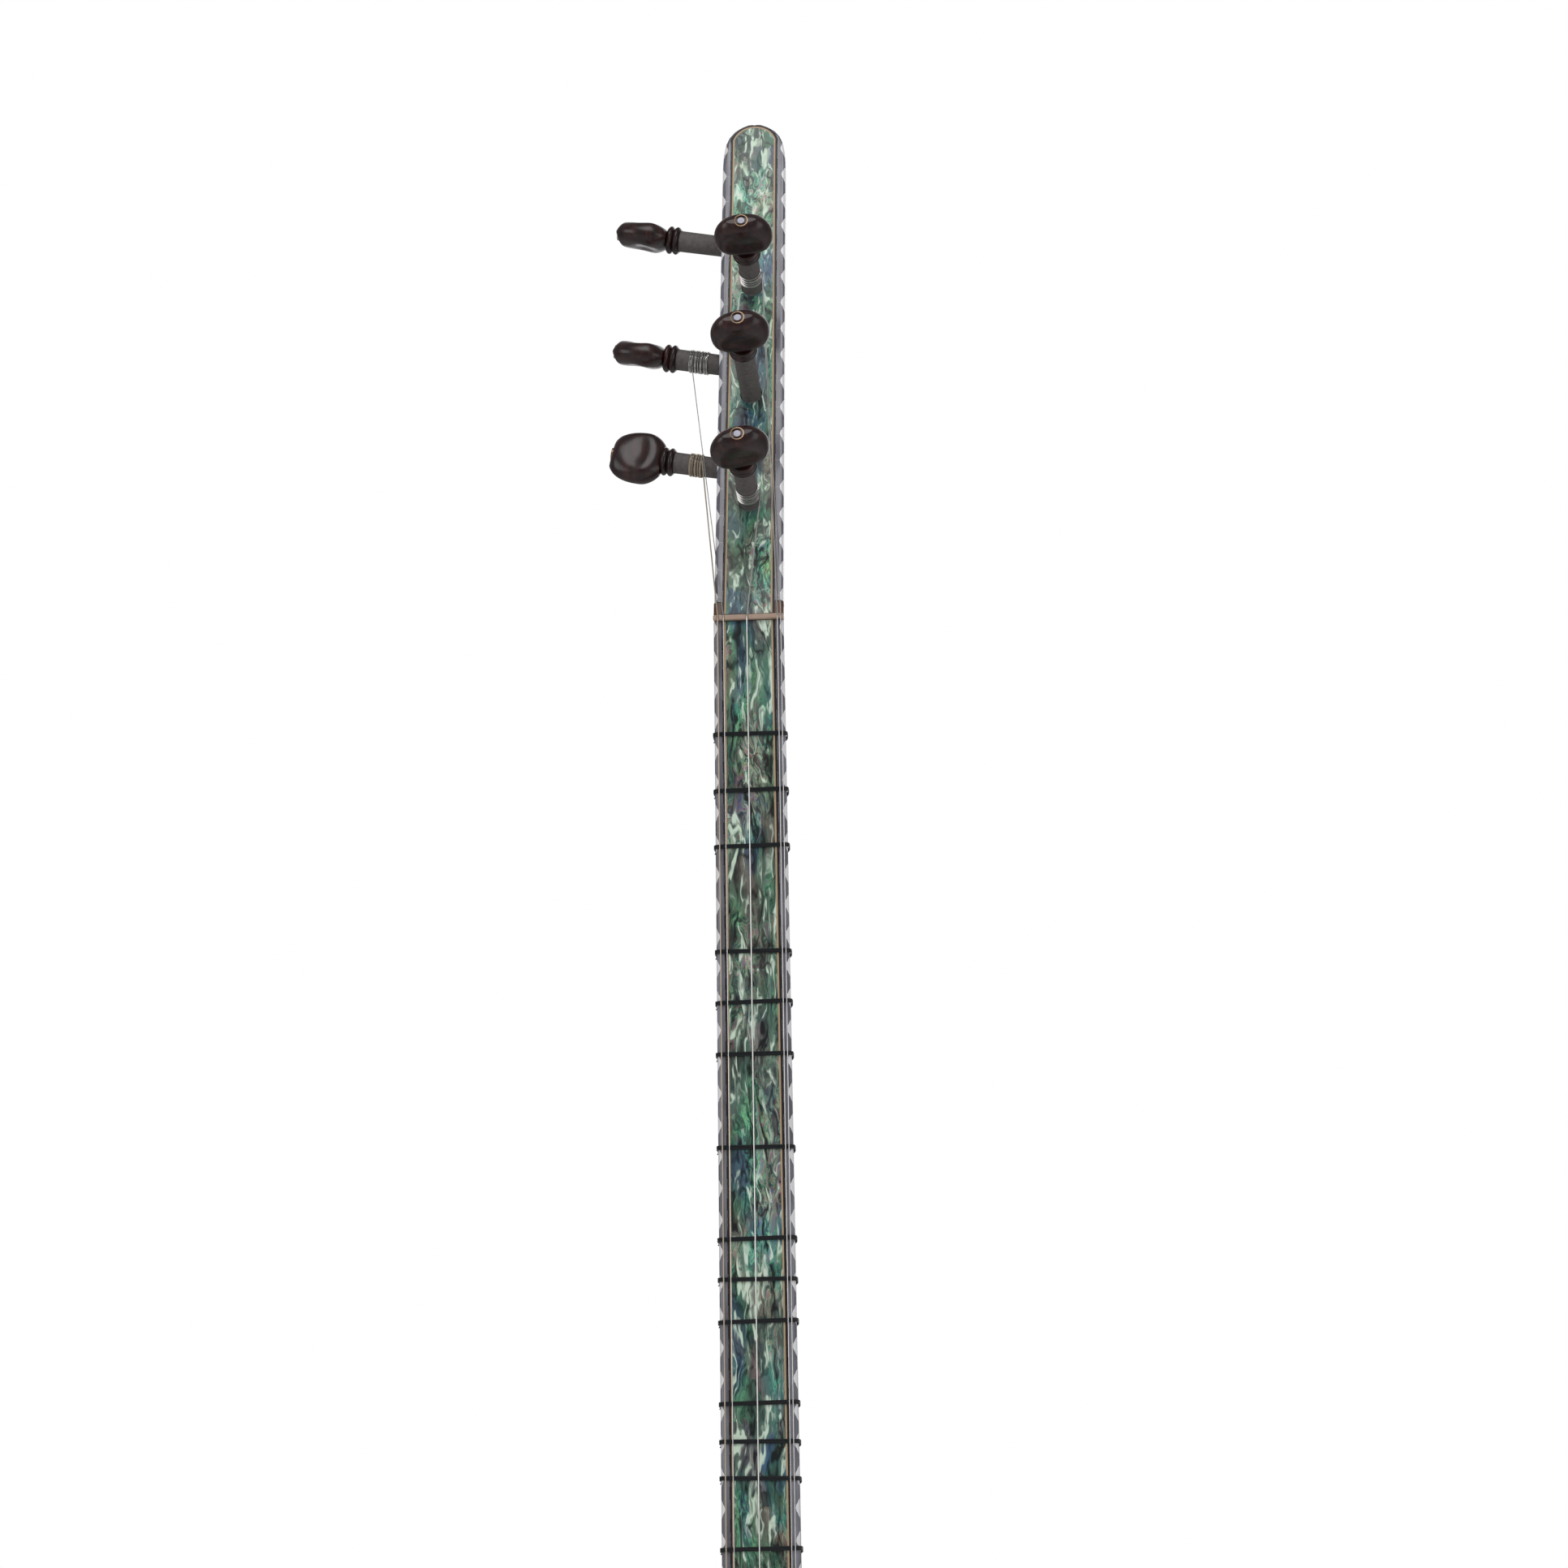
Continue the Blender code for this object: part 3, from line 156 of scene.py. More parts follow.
def linear(value):
    """One sRGB channel from 0 to 1 as linear light."""
    return value / 12.92 if value <= 0.04045 else ((value + 0.055) / 1.055) ** 2.4


def colour(code):
    """An sRGB hex colour as a linear tuple with alpha."""
    return tuple(linear(int(code[i:i + 2], 16) / 255) for i in (0, 2, 4)) + (1.0,)


def scale_of(size_mm):
    """The scale that gives a pattern one cell in so many millimetres."""
    return 1 / (size_mm * MM)


def fill(tree, made, inputs):
    """Give each input of a node its value, or link it to a socket."""
    for key, value in inputs.items():
        if isinstance(value, bpy.types.NodeSocket):
            tree.links.new(value, made.inputs[key])
        else:
            made.inputs[key].default_value = value


def node(tree, kind, inputs, out=0, stops=(), **settings):
    """Add one node with its settings, inputs and any ramp stops, and return one of its outputs."""
    made = tree.nodes.new(kind)
    for key, value in settings.items():
        setattr(made, key, value)
    fill(tree, made, inputs)
    if stops:
        elements = made.color_ramp.elements
        while len(elements) < len(stops):
            elements.new(0.5)
        for element, (place, code) in zip(elements, stops):
            element.position = place
            element.color = colour(code)
    return made.outputs[out]


def blank(name):
    """A material, its node tree, its Principled shader, and the object coordinates in that tree."""
    made = bpy.data.materials.new(name)
    made.use_nodes = True
    tree = made.node_tree
    return made, tree, tree.nodes["Principled BSDF"], node(tree, "ShaderNodeTexCoord", {}, "Object")


def abalone():
    """Laminated abalone under thin lacquer: teal flakes, mint, pink and blue streaks, dark veins, and
    painted highlights with painted shade between them.
    """
    bend = 18 * MM
    tint_share = 0.75
    made, tree, shader, spot = blank("abalone_lacquered_laminate")
    # Everything is drawn out along the neck, and bent by a slow noise
    drawn = node(tree, "ShaderNodeMapping", {"Vector": spot, "Scale": (1, 1, 0.34)})
    warp = node(tree, "ShaderNodeTexNoise", {
        "Vector": drawn, "Scale": scale_of(14.286), "Detail": 3.0, "Roughness": 0.6}, "Color")
    bent = node(tree, "ShaderNodeMix", {0: bend, 6: drawn, 7: warp}, 2, data_type="RGBA", blend_type="ADD")
    # Flakes of one colour each
    flake = node(tree, "ShaderNodeTexVoronoi", {
        "Vector": bent, "Scale": scale_of(7.4074), "Randomness": 1.0}, "Color")
    pick = node(tree, "ShaderNodeSeparateColor", {0: flake})
    flakes = node(tree, "ShaderNodeValToRGB", {0: pick}, stops=[
        (0.0, "161C22"), (0.16, "3E5A5A"), (0.30, "6A6660"), (0.44, "2C5A60"), (0.56, "7C7068"),
        (0.68, "35507A"), (0.80, "4A7462"), (0.92, "5A6270")])
    # Swirls that shine through them in patches
    swirl = node(tree, "ShaderNodeTexNoise", {
        "Vector": bent, "Scale": scale_of(3.8462), "Detail": 4.0, "Roughness": 0.65, "Distortion": 1.6})
    flash = node(tree, "ShaderNodeValToRGB", {0: swirl}, stops=[
        (0.30, "0E1418"), (0.42, "5C5A58"), (0.47, "3C6E70"), (0.51, "7FD8B4"), (0.54, "D2F2CC"),
        (0.57, "6E8A7A"), (0.61, "D8A8B8"), (0.68, "6C96D2")])
    patch = node(tree, "ShaderNodeTexNoise", {"Vector": drawn, "Scale": scale_of(16.667), "Detail": 2.0})
    share = node(tree, "ShaderNodeValToRGB", {0: patch}, stops=[(0.38, "303030"), (0.62, "E0E0E0")])
    shell = node(tree, "ShaderNodeMix", {0: share, 6: flakes, 7: flash}, 2, data_type="RGBA")
    # Each stretch of the sheet leans to a hue of its own
    sheet = node(tree, "ShaderNodeTexNoise", {"Vector": drawn, "Scale": scale_of(20.833), "Detail": 1.0})
    tint = node(tree, "ShaderNodeValToRGB", {0: sheet}, stops=[
        (0.32, "3F78B4"), (0.42, "9FE0B4"), (0.49, "8C8278"), (0.55, "EBC7C0"), (0.62, "7FD0C8"),
        (0.70, "D8E4A0")])
    shell = node(tree, "ShaderNodeMix", {0: tint_share, 6: shell, 7: tint}, 2, data_type="RGBA",
                 blend_type="OVERLAY")
    # Painted highlights: short lengthwise gleams, bright at their crests, with painted shade between them
    slim = node(tree, "ShaderNodeMapping", {"Vector": bent, "Scale": (1, 1, 0.45)})
    painted_gleam = node(tree, "ShaderNodeTexNoise", {
        "Vector": slim, "Scale": scale_of(3.0303), "Detail": 2.0, "Distortion": 0.8})
    painted_highlight = node(tree, "ShaderNodeValToRGB", {0: painted_gleam}, stops=[
        (0.40, "000000"), (0.56, "404040"), (0.66, "FFFFFF")])
    shell = node(tree, "ShaderNodeMix", {0: painted_highlight, 6: shell, 7: colour("DDF4DC")}, 2, data_type="RGBA",
                 blend_type="SCREEN")
    # Painted shade: the stretches between the painted highlights are darkened
    painted_shade = node(tree, "ShaderNodeValToRGB", {0: painted_gleam}, stops=[(0.32, "404850"), (0.46, "FFFFFF")])
    shell = node(tree, "ShaderNodeMix", {0: 1.0, 6: shell, 7: painted_shade}, 2, data_type="RGBA",
                 blend_type="MULTIPLY")
    # Dark growth lines, broken up so that only some show
    edge = node(tree, "ShaderNodeTexVoronoi", {"Vector": bent, "Scale": scale_of(10.526)}, "Distance",
                feature="DISTANCE_TO_EDGE")
    vein = node(tree, "ShaderNodeValToRGB", {0: edge}, stops=[
        (0.0, "FFFFFF"), (0.035, "606060"), (0.075, "000000")])
    gaps = node(tree, "ShaderNodeTexNoise", {"Vector": bent, "Scale": scale_of(8.3333), "Detail": 2.0})
    kept = node(tree, "ShaderNodeValToRGB", {0: gaps}, stops=[(0.46, "000000"), (0.6, "FFFFFF")])
    some = node(tree, "ShaderNodeMath", {0: vein, 1: kept}, operation="MULTIPLY")
    shell = node(tree, "ShaderNodeMix", {0: some, 6: shell, 7: colour("171512")}, 2, data_type="RGBA")
    relief = node(tree, "ShaderNodeBump", {"Height": swirl, "Strength": 0.25, "Distance": 0.2 * MM})
    fill(tree, shader, {"Base Color": shell, "Normal": relief, "Roughness": 0.38, "Coat Weight": 0.12,
                        "Coat Roughness": 0.08})
    return made


def pearl_band(name, on_peghead):
    """Polished grey pearl celluloid: fine lengthwise lines, and pale ovals in a row down each side.

    An oval is where the squares of the shares of its half length and half height add up to under 1.
    """
    oval_pitch = 13 * MM
    oval_half_share = 0.31
    oval_centre = 1.5 * MM
    oval_half_height = 1.5 * MM
    row_shift = 2.0
    made, tree, shader, spot = blank(name)
    front = FACE_Y
    if on_peghead:
        front = 0.0
        spot = node(tree, "ShaderNodeMapping", {
            "Vector": spot, "Location": (0, FACE_Y, BEND_Z), "Rotation": (-TILT, 0, 0)},
            vector_type="TEXTURE")
    drawn = node(tree, "ShaderNodeMapping", {"Vector": spot, "Scale": (1, 1, 0.03)})
    lines = node(tree, "ShaderNodeTexNoise", {"Vector": drawn, "Scale": scale_of(1.1111), "Detail": 3.0})
    grey = node(tree, "ShaderNodeValToRGB", {0: lines}, stops=[
        (0.3, "57555E"), (0.5, "6D6C75"), (0.7, "8B8C96")])
    cloud = node(tree, "ShaderNodeTexNoise", {"Vector": spot, "Scale": scale_of(14.286), "Detail": 2.0})
    haze = node(tree, "ShaderNodeValToRGB", {0: cloud}, stops=[(0.5, "000000"), (0.72, "808080")])
    grey = node(tree, "ShaderNodeMix", {0: haze, 6: grey, 7: colour("B2B6C2")}, 2, data_type="RGBA")
    axes = node(tree, "ShaderNodeSeparateXYZ", {0: spot}).node.outputs
    shifted = node(tree, "ShaderNodeMath", {0: axes[2], 1: row_shift}, operation="ADD")
    steps = node(tree, "ShaderNodeMath", {0: shifted, 1: oval_pitch}, operation="DIVIDE")
    step = node(tree, "ShaderNodeMath", {0: steps}, operation="FRACT")
    from_middle = node(tree, "ShaderNodeMath", {0: step, 1: 0.5}, operation="SUBTRACT")
    reach = node(tree, "ShaderNodeMath", {0: from_middle}, operation="ABSOLUTE")
    long_share = node(tree, "ShaderNodeMath", {0: reach, 1: oval_half_share}, operation="DIVIDE")
    long_square = node(tree, "ShaderNodeMath", {0: long_share, 1: 2.0}, operation="POWER")
    depth = node(tree, "ShaderNodeMath", {0: axes[1], 1: front + oval_centre}, operation="SUBTRACT")
    off = node(tree, "ShaderNodeMath", {0: depth}, operation="ABSOLUTE")
    high_share = node(tree, "ShaderNodeMath", {0: off, 1: oval_half_height}, operation="DIVIDE")
    high_square = node(tree, "ShaderNodeMath", {0: high_share, 1: 2.0}, operation="POWER")
    total = node(tree, "ShaderNodeMath", {0: long_square, 1: high_square}, operation="ADD")
    inside = node(tree, "ShaderNodeMath", {0: total, 1: 1.0}, operation="LESS_THAN")
    pearl = node(tree, "ShaderNodeMix", {0: inside, 6: grey, 7: colour("F1F1F4")}, 2, data_type="RGBA")
    fill(tree, shader, {"Base Color": pearl, "Roughness": 0.25, "Coat Weight": 0.4, "Coat Roughness": 0.1})
    return made


def wood(name, dark, mid, light, grain_mm, roughness, coat=0.0, staves=0):
    """Planed wood with its finish: streaks along the neck's axis, at the grain width given.

    One cell of the noise is a dark and a light grain. Staves are equal angles about the middle of the
    bowl's rim, each of its own shade, with a pale line at each joint.
    """
    shade_share = 0.35
    joint_edge = 0.485
    made, tree, shader, spot = blank(name)
    drawn = node(tree, "ShaderNodeMapping", {"Vector": spot, "Scale": (1, 1, 0.06)})
    streak = node(tree, "ShaderNodeTexNoise", {
        "Vector": drawn, "Scale": scale_of(2 * grain_mm), "Detail": 6.0, "Roughness": 0.65,
        "Distortion": 0.4})
    tone = node(tree, "ShaderNodeValToRGB", {0: streak}, stops=[(0.3, dark), (0.5, mid), (0.7, light)])
    if staves:
        axes = node(tree, "ShaderNodeSeparateXYZ", {0: spot}).node.outputs
        behind = node(tree, "ShaderNodeMath", {0: axes[1], 1: BOWL_RIM_Y}, operation="SUBTRACT")
        turn = node(tree, "ShaderNodeMath", {0: behind, 1: axes[0]}, operation="ARCTAN2")
        count = node(tree, "ShaderNodeMath", {0: turn, 1: staves / math.pi}, operation="MULTIPLY")
        index = node(tree, "ShaderNodeMath", {0: count}, operation="FLOOR")
        chance = node(tree, "ShaderNodeTexWhiteNoise", {"W": index}, noise_dimensions="1D")
        shade = node(tree, "ShaderNodeMath", {0: chance, 1: shade_share}, operation="MULTIPLY")
        tone = node(tree, "ShaderNodeMix", {0: shade, 6: tone, 7: colour(dark)}, 2, data_type="RGBA")
        step = node(tree, "ShaderNodeMath", {0: count}, operation="FRACT")
        from_middle = node(tree, "ShaderNodeMath", {0: step, 1: 0.5}, operation="SUBTRACT")
        reach = node(tree, "ShaderNodeMath", {0: from_middle}, operation="ABSOLUTE")
        joint = node(tree, "ShaderNodeMath", {0: reach, 1: joint_edge}, operation="GREATER_THAN")
        tone = node(tree, "ShaderNodeMix", {0: joint, 6: tone, 7: colour("D8B98A")}, 2, data_type="RGBA")
    relief = node(tree, "ShaderNodeBump", {"Height": streak, "Strength": 0.15, "Distance": 0.1 * MM})
    fill(tree, shader, {"Base Color": tone, "Normal": relief, "Roughness": roughness, "Coat Weight": coat})
    return made


def plain(name, code, roughness, metallic, grain_mm, fleck="FFFFFF", relief_mm=0.05):
    """A fine-grained surface: a small noise moves its colour towards a fleck colour, and its height."""
    fleck_share = 0.16
    made, tree, shader, spot = blank(name)
    grain = node(tree, "ShaderNodeTexNoise", {
        "Vector": spot, "Scale": scale_of(grain_mm), "Detail": 3.0})
    share = node(tree, "ShaderNodeMath", {0: grain, 1: fleck_share}, operation="MULTIPLY")
    tone = node(tree, "ShaderNodeMix", {0: share, 6: colour(code), 7: colour(fleck)}, 2, data_type="RGBA")
    relief = node(tree, "ShaderNodeBump", {"Height": grain, "Strength": 0.2, "Distance": relief_mm * MM})
    fill(tree, shader, {"Base Color": tone, "Normal": relief, "Roughness": roughness, "Metallic": metallic})
    return made


FINISH = {}


def make_finishes():
    """Every finish once, named for its real material, with what it gives the eye."""
    # Iridescent streaks of teal, mint and pink that flow along the neck
    FINISH["abalone"] = abalone()
    # Cool grey sheen with a row of pale ovals
    FINISH["pearl"] = pearl_band("pearl_celluloid_polished", False)
    # The same sheen, square to the tilted peghead
    FINISH["pearl_head"] = pearl_band("pearl_celluloid_peghead", True)
    # Tan, faintly mottled and half gloss
    FINISH["bone"] = plain("bone_polished", "B0937E", 0.4, 0.0, 2.0)
    # A thin warm line
    FINISH["maple"] = plain("maple_line", "B99B74", 0.45, 0.0, 1.4286)
    # A near-black line that frames the shell
    FINISH["dark"] = plain("black_fibre_line", "1D1512", 0.45, 0.0, 1.4286, "4A3830")
    # Black line with a soft shine on each turn
    FINISH["nylon"] = plain("nylon_line_black", "1C1F22", 0.35, 0.0, 1.1111, "50555A")
    # Thin bright wire
    FINISH["steel"] = plain("steel_wire_drawn", "C9C7C4", 0.3, 1.0, 0.83333)
    # Thicker wire, duller and warmer
    FINISH["wound"] = plain("wound_string_pale", "B7A68F", 0.4, 0.6, 0.66667)
    # Clean silvery metal
    FINISH["nickel"] = plain("nickel_plated_brass", "BDBBB6", 0.22, 1.0, 1.1111)
    # Matt black with a fine grain
    FINISH["plastic"] = plain("abs_moulded_black", "19191B", 0.4, 0.0, 0.71429, "3A3A3C")
    # A small smooth lavender-white spot
    FINISH["cream"] = plain("pearl_dot", "A9A9BC", 0.2, 0.0, 2.5)
    # A thin dull gold ring
    FINISH["brass"] = plain("brass_ring_turned", "8A6B48", 0.35, 0.8, 1.1111)
    # Dusty grey wood that shows no shine
    FINISH["chalk"] = plain("peg_shaft_chalked", "4A4341", 0.7, 0.0, 1.6667, "E0DEDC", 0.1)
    # Near-black red wood with a satin shine
    FINISH["rosewood"] = wood("rosewood_turned_oiled", "140809", "260F10", "44201C", 1.2, 0.34, 0.1)
    # Brown wood with soft lengthwise streaks
    FINISH["neck"] = wood("walnut_neck_oiled", "3A2012", "59341F", "754A2C", 1.4, 0.4, 0.2)
    # Glossy red-brown staves with pale joints
    FINISH["bowl"] = wood("mahogany_staves_lacquered", "4A220F", "6E3517", "8D4C23", 1.6, 0.25, 0.6, 15)
    # Honey-coloured straight grain under lacquer
    FINISH["spruce"] = wood("spruce_soundboard_lacquered", "B07C42", "C79455", "D9AC6C", 1.1, 0.3, 0.5)
    # Pale dull wood
    FINISH["inner"] = wood("linden_raw", "A57C4E", "B88F5E", "C9A372", 1.5, 0.65)


def grid_mesh(name, surface, close_u=False, close_v=False, cap=False):
    """A mesh from points over two parameters. A cap is one face over each end of the first parameter."""
    rows, columns = surface.shape[:2]
    i, j = np.meshgrid(np.arange(rows if close_u else rows - 1),
                       np.arange(columns if close_v else columns - 1), indexing="ij")
    i_next = (i + 1) % rows
    j_next = (j + 1) % columns
    faces = np.stack([i * columns + j, i_next * columns + j, i_next * columns + j_next,
                      i * columns + j_next], -1).reshape(-1, 4).tolist()
    if cap:
        ring = np.arange(columns)
        faces.append(ring[::-1].tolist())
        faces.append((ring + (rows - 1) * columns).tolist())
    mesh = bpy.data.meshes.new(name)
    mesh.from_pydata(surface.reshape(-1, 3).tolist(), [], faces)
    mesh.validate()
    mesh.update()
    return mesh


def points_of(mesh):
    """The points of a mesh as an array."""
    points = np.zeros(len(mesh.vertices) * 3)
    mesh.vertices.foreach_get("co", points)
    return points.reshape(-1, 3)


def face_outward(mesh):
    """Turn a closed mesh the right way round: its signed volume, from its triangles, must be positive."""
    mesh.calc_loop_triangles()
    index = np.zeros(len(mesh.loop_triangles) * 3, dtype=np.int32)
    mesh.loop_triangles.foreach_get("vertices", index)
    corners = points_of(mesh)[index.reshape(-1, 3)]
    if np.einsum("ij,ij->i", corners[:, 0], np.cross(corners[:, 1], corners[:, 2])).sum() < 0:
        mesh.flip_normals()


def piece(name, mesh, finish, body, sharp_degrees=40):
    """An object of a mesh with its finish, riding on a body and filed under a material slot."""
    made = bpy.data.objects.new(name, mesh)
    bpy.context.scene.collection.objects.link(made)
    mesh.materials.append(FINISH[finish])
    mesh.shade_smooth()
    mesh.set_sharp_from_angle(angle=math.radians(sharp_degrees))
    face_outward(mesh)
    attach(made, body)
    return made


def carried(matrix, points):
    """Points moved by a matrix: its rotation times each point, plus its translation."""
    full = np.array(matrix)
    return points @ full[:3, :3].T + full[:3, 3]


def turned(profile, sides):
    """A surface of revolution about z: each (radius, height) of the profile is a circle."""
    turn = np.linspace(0, 2 * np.pi, sides, endpoint=False)
    return np.stack([profile[:, :1] * np.cos(turn), profile[:, :1] * np.sin(turn),
                     np.repeat(profile[:, 1:], sides, 1)], -1)


def tube(path, radius, closed=False, sides=6):
    """A round tube: circles square to the path, each set by the path's direction and a fixed guide."""
    ahead = np.roll(path, -1, 0) - np.roll(path, 1, 0)
    if not closed:
        ahead[0] = path[1] - path[0]
        ahead[-1] = path[-1] - path[-2]
    ahead /= np.linalg.norm(ahead, axis=1)[:, None]
    # The guide is a direction that the path doesn't follow
    steep = 0.7
    guide = np.array([0.9, 0.4, 0.1] if abs(ahead[:, 2]).mean() >= steep else [0.12, 0.31, 0.94])
    side = np.cross(ahead, guide)
    side /= np.linalg.norm(side, axis=1)[:, None]
    up = np.cross(ahead, side)
    turn = np.linspace(0, 2 * np.pi, sides, endpoint=False)
    circle = (np.cos(turn)[None, :, None] * side[:, None, :]
              + np.sin(turn)[None, :, None] * up[:, None, :])
    return path[:, None, :] + radius * circle


def neck_half_width(z):
    """Half the neck's width, which grows evenly from the nut to the body."""
    return (NECK_WIDTH_NUT + (NECK_WIDTH_BODY - NECK_WIDTH_NUT) * -z / NECK_LENGTH) / 2


def neck_outline(z, grow):
    """The neck's section in x and y, grown evenly: flat front, round corners, superelliptic back."""
    back_steps = 28
    corner_steps = 5
    front_points = 6
    half = neck_half_width(z) + grow
    depth = NECK_DEPTH_NUT + (NECK_DEPTH_BODY - NECK_DEPTH_NUT) * -z / NECK_LENGTH
    back = FACE_Y + depth + grow
    front = FACE_Y - grow
    corner = NECK_CORNER + grow
    side = front + corner
    turn = np.linspace(0, np.pi, back_steps + 1)
    x = half * np.abs(np.cos(turn)) ** (2 / NECK_POWER) * np.sign(np.cos(turn))
    y = side + (back - side) * np.abs(np.sin(turn)) ** (2 / NECK_POWER)
    arc = np.linspace(0, np.pi / 2, corner_steps + 1)[1:]
    left = np.stack([-half + corner - corner * np.cos(arc), side - corner * np.sin(arc)], 1)
    flat = np.linspace(left[-1, 0], -left[-1, 0], front_points + 2)[1:-1]
    middle = np.stack([flat, np.full(front_points, front)], 1)
    right = left[::-1] * [-1, 1]
    return np.concatenate([np.stack([x, y], 1), left, middle, right])


class SazSettings(bpy.types.PropertyGroup):
    """Sizes and colours that a user would change"""
    fret_turns: IntProperty(
        name="Fret turns", description="Turns of nylon line in each tied fret", default=4)
    line_width: FloatProperty(
        name="Inlay line", description="Width of each inlay line beside the facing",
        default=0.0007, unit="LENGTH")
    winding_radius: FloatProperty(
        name="Winding radius", description="Radius of the wire wound on a peg",
        default=0.00026, unit="LENGTH")
    floor_colour: FloatVectorProperty(
        name="Floor colour", description="Colour of the floor's paint",
        default=colour("E9E9EA"), size=4, min=0.0, max=1.0, subtype="COLOR")


class SAZ_OT_carried(bpy.types.Operator):
    """Make the finishes, and give every piece of the CAD its own"""
    bl_idname = "saz.carried"
    bl_label = "Finish carried pieces"

    FINISH_OF = {
        "neck": "neck", "fingerboard": "pearl", "fingerboard_facing": "abalone",
        "peghead": "pearl_head", "peghead_facing": "abalone", "nut": "bone",
        "bowl": "bowl", "soundboard": "spruce", "neck_block": "inner", "tail_block": "inner",
        "brace_upper": "inner", "brace_lower": "inner", "bridge": "rosewood",
        "string_holder": "rosewood", "string_bass": "wound", "pickup": "plastic",
        "pickup_ring": "plastic", "volume_pot": "nickel", "tone_pot": "nickel",
        "volume_knob": "plastic", "tone_knob": "plastic", "jack_barrel": "nickel",
        "strap_collar": "nickel", "jack_inner_nut": "nickel", "pickup_lead": "plastic",
        "link_lead": "plastic", "output_lead": "plastic",
    }
    FINISH_BY_START = {
        "string_": "steel", "fret_": "nylon", "front_peg_": "rosewood", "side_peg_": "rosewood",
    }

    def execute(self, context):
        make_finishes()
        for name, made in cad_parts.items():
            groups = [finish for start, finish in self.FINISH_BY_START.items() if name.startswith(start)]
            finish = self.FINISH_OF[name] if name in self.FINISH_OF else groups[0]
            made.data.materials.clear()
            made.data.materials.append(FINISH[finish])
        return {"FINISHED"}


class SAZ_OT_inlay_lines(bpy.types.Operator):
    """Light and dark lines on both sides of the shell facings and over the peghead's dome"""
    bl_idname = "saz.inlay_lines"
    bl_label = "Inlay lines"

    def execute(self, context):
        width = context.scene.saz.line_width
        lines = (("dark", 0.0), ("maple", width))
        for side, word in ((-1, "left"), (1, "right")):
            for kind, inset in lines:
                self.straight(f"inlay_{kind}_{word}", kind, side, inset, width, FACE_Y,
                              (FACING_HALF_BODY, -NECK_LENGTH), (FACING_HALF_NUT, -BEND_Z))
                self.straight(f"peghead_{kind}_{word}", kind, side, inset, width, 0.0,
                              (HEAD_FACING_HALF_LOW, HEAD_LINE_START),
                              (HEAD_FACING_HALF_TOP, HEAD_LINE_END), PEGHEAD_FRAME)
        for kind, inset in lines:
            self.dome(f"peghead_{kind}_dome", kind, inset, width)
        return {"FINISHED"}

    def straight(self, name, kind, side, inset, width, face, low_end, high_end, matrix=None):
        """A box section carried between two ends, each the facing's half width and a height."""
        depths = face - LINE_STAND + np.array([0, 0, LINE_DEPTH, LINE_DEPTH])
        rows = []
        for half, z in (low_end, high_end):
            outer = side * (half - inset)
            inner = side * (half - inset - width)
            rows.append(np.column_stack([[outer, inner, inner, outer], depths, np.full(4, z)]))
        points = np.array(rows)
        if matrix is not None:
            points = carried(matrix, points)
        piece(name, grid_mesh(name, points, close_v=True, cap=True), kind, ROOT)

    def dome(self, name, kind, inset, width):
        """A box section carried along the dome's arc, whose circle spans the facing's width and rise."""
        steps = 25
        half = HEAD_FACING_HALF_TOP
        rise = HEAD_FACING_DOME_RISE
        radius = (half ** 2 + rise ** 2) / (2 * rise)
        centre = HEAD_FACING_TOP - radius
        angle = np.linspace(-math.asin(half / radius), math.asin(half / radius), steps)
        rings = []
        for reach, depth in ((0, -LINE_STAND), (width, -LINE_STAND), (width, LINE_DEPTH), (0, LINE_DEPTH)):
            size = radius - inset - reach
            rings.append(np.stack([size * np.sin(angle), np.full(steps, depth),
                                   centre + size * np.cos(angle)], 1))
        surface = carried(PEGHEAD_FRAME, np.stack(rings, 1))
        piece(name, grid_mesh(name, surface, close_v=True, cap=True), kind, ROOT)


class SAZ_OT_frets(bpy.types.Operator):
    """Tied frets: turns of nylon line side by side round the neck, with a knot at the side"""
    bl_idname = "saz.frets"
    bl_label = "Tied frets"

    def execute(self, context):
        turns = context.scene.saz.fret_turns
        radius = FRET_WIDTH / turns / 2
        for number in range(1, FRET_COUNT + 1):
            name = f"fret_{number:02d}"
            low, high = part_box(name)
            z = (low.z + high.z) / 2
            points = points_of(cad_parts[name].data)
            # The CAD's fret leans a little across the neck
            slope = np.polyfit(points[:, 0], points[:, 2], 1)[0]
            outline = neck_outline(z, FRET_GAP + radius)
            for turn in range(turns):
                offset = (turn + 0.5) * 2 * radius - FRET_WIDTH / 2
                path = np.column_stack([outline, z + offset + outline[:, 0] * slope])
                part = f"{name}_turn_{turn + 1}"
                mesh = grid_mesh(part, tube(path, radius, closed=True), True, True)
                made = piece(part, mesh, "nylon", name)
                if turn == 0:
                    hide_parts(name)
            self.knot(name, z, radius)
        return {"FINISHED"}

    def knot(self, name, z, radius):
        """An overhand knot beside the neck: the closed curve of a trefoil, in sines and cosines."""
        steps = 40
        size = 0.36 * MM
        flatness = 0.8
        stand = 0.8 * MM
        depth = 10 * MM
        t = np.linspace(0, 2 * np.pi, steps, endpoint=False)
        path = np.column_stack([
            -neck_half_width(z) - stand + size * flatness * np.cos(3 * t),
            FACE_Y + depth + size * (np.sin(t) + 2 * np.sin(2 * t)),
            z + size * (np.cos(t) - 2 * np.cos(2 * t))])
        mesh = grid_mesh(f"{name}_knot", tube(path, radius, closed=True), True, True)
        piece(f"{name}_knot", mesh, "nylon", name)


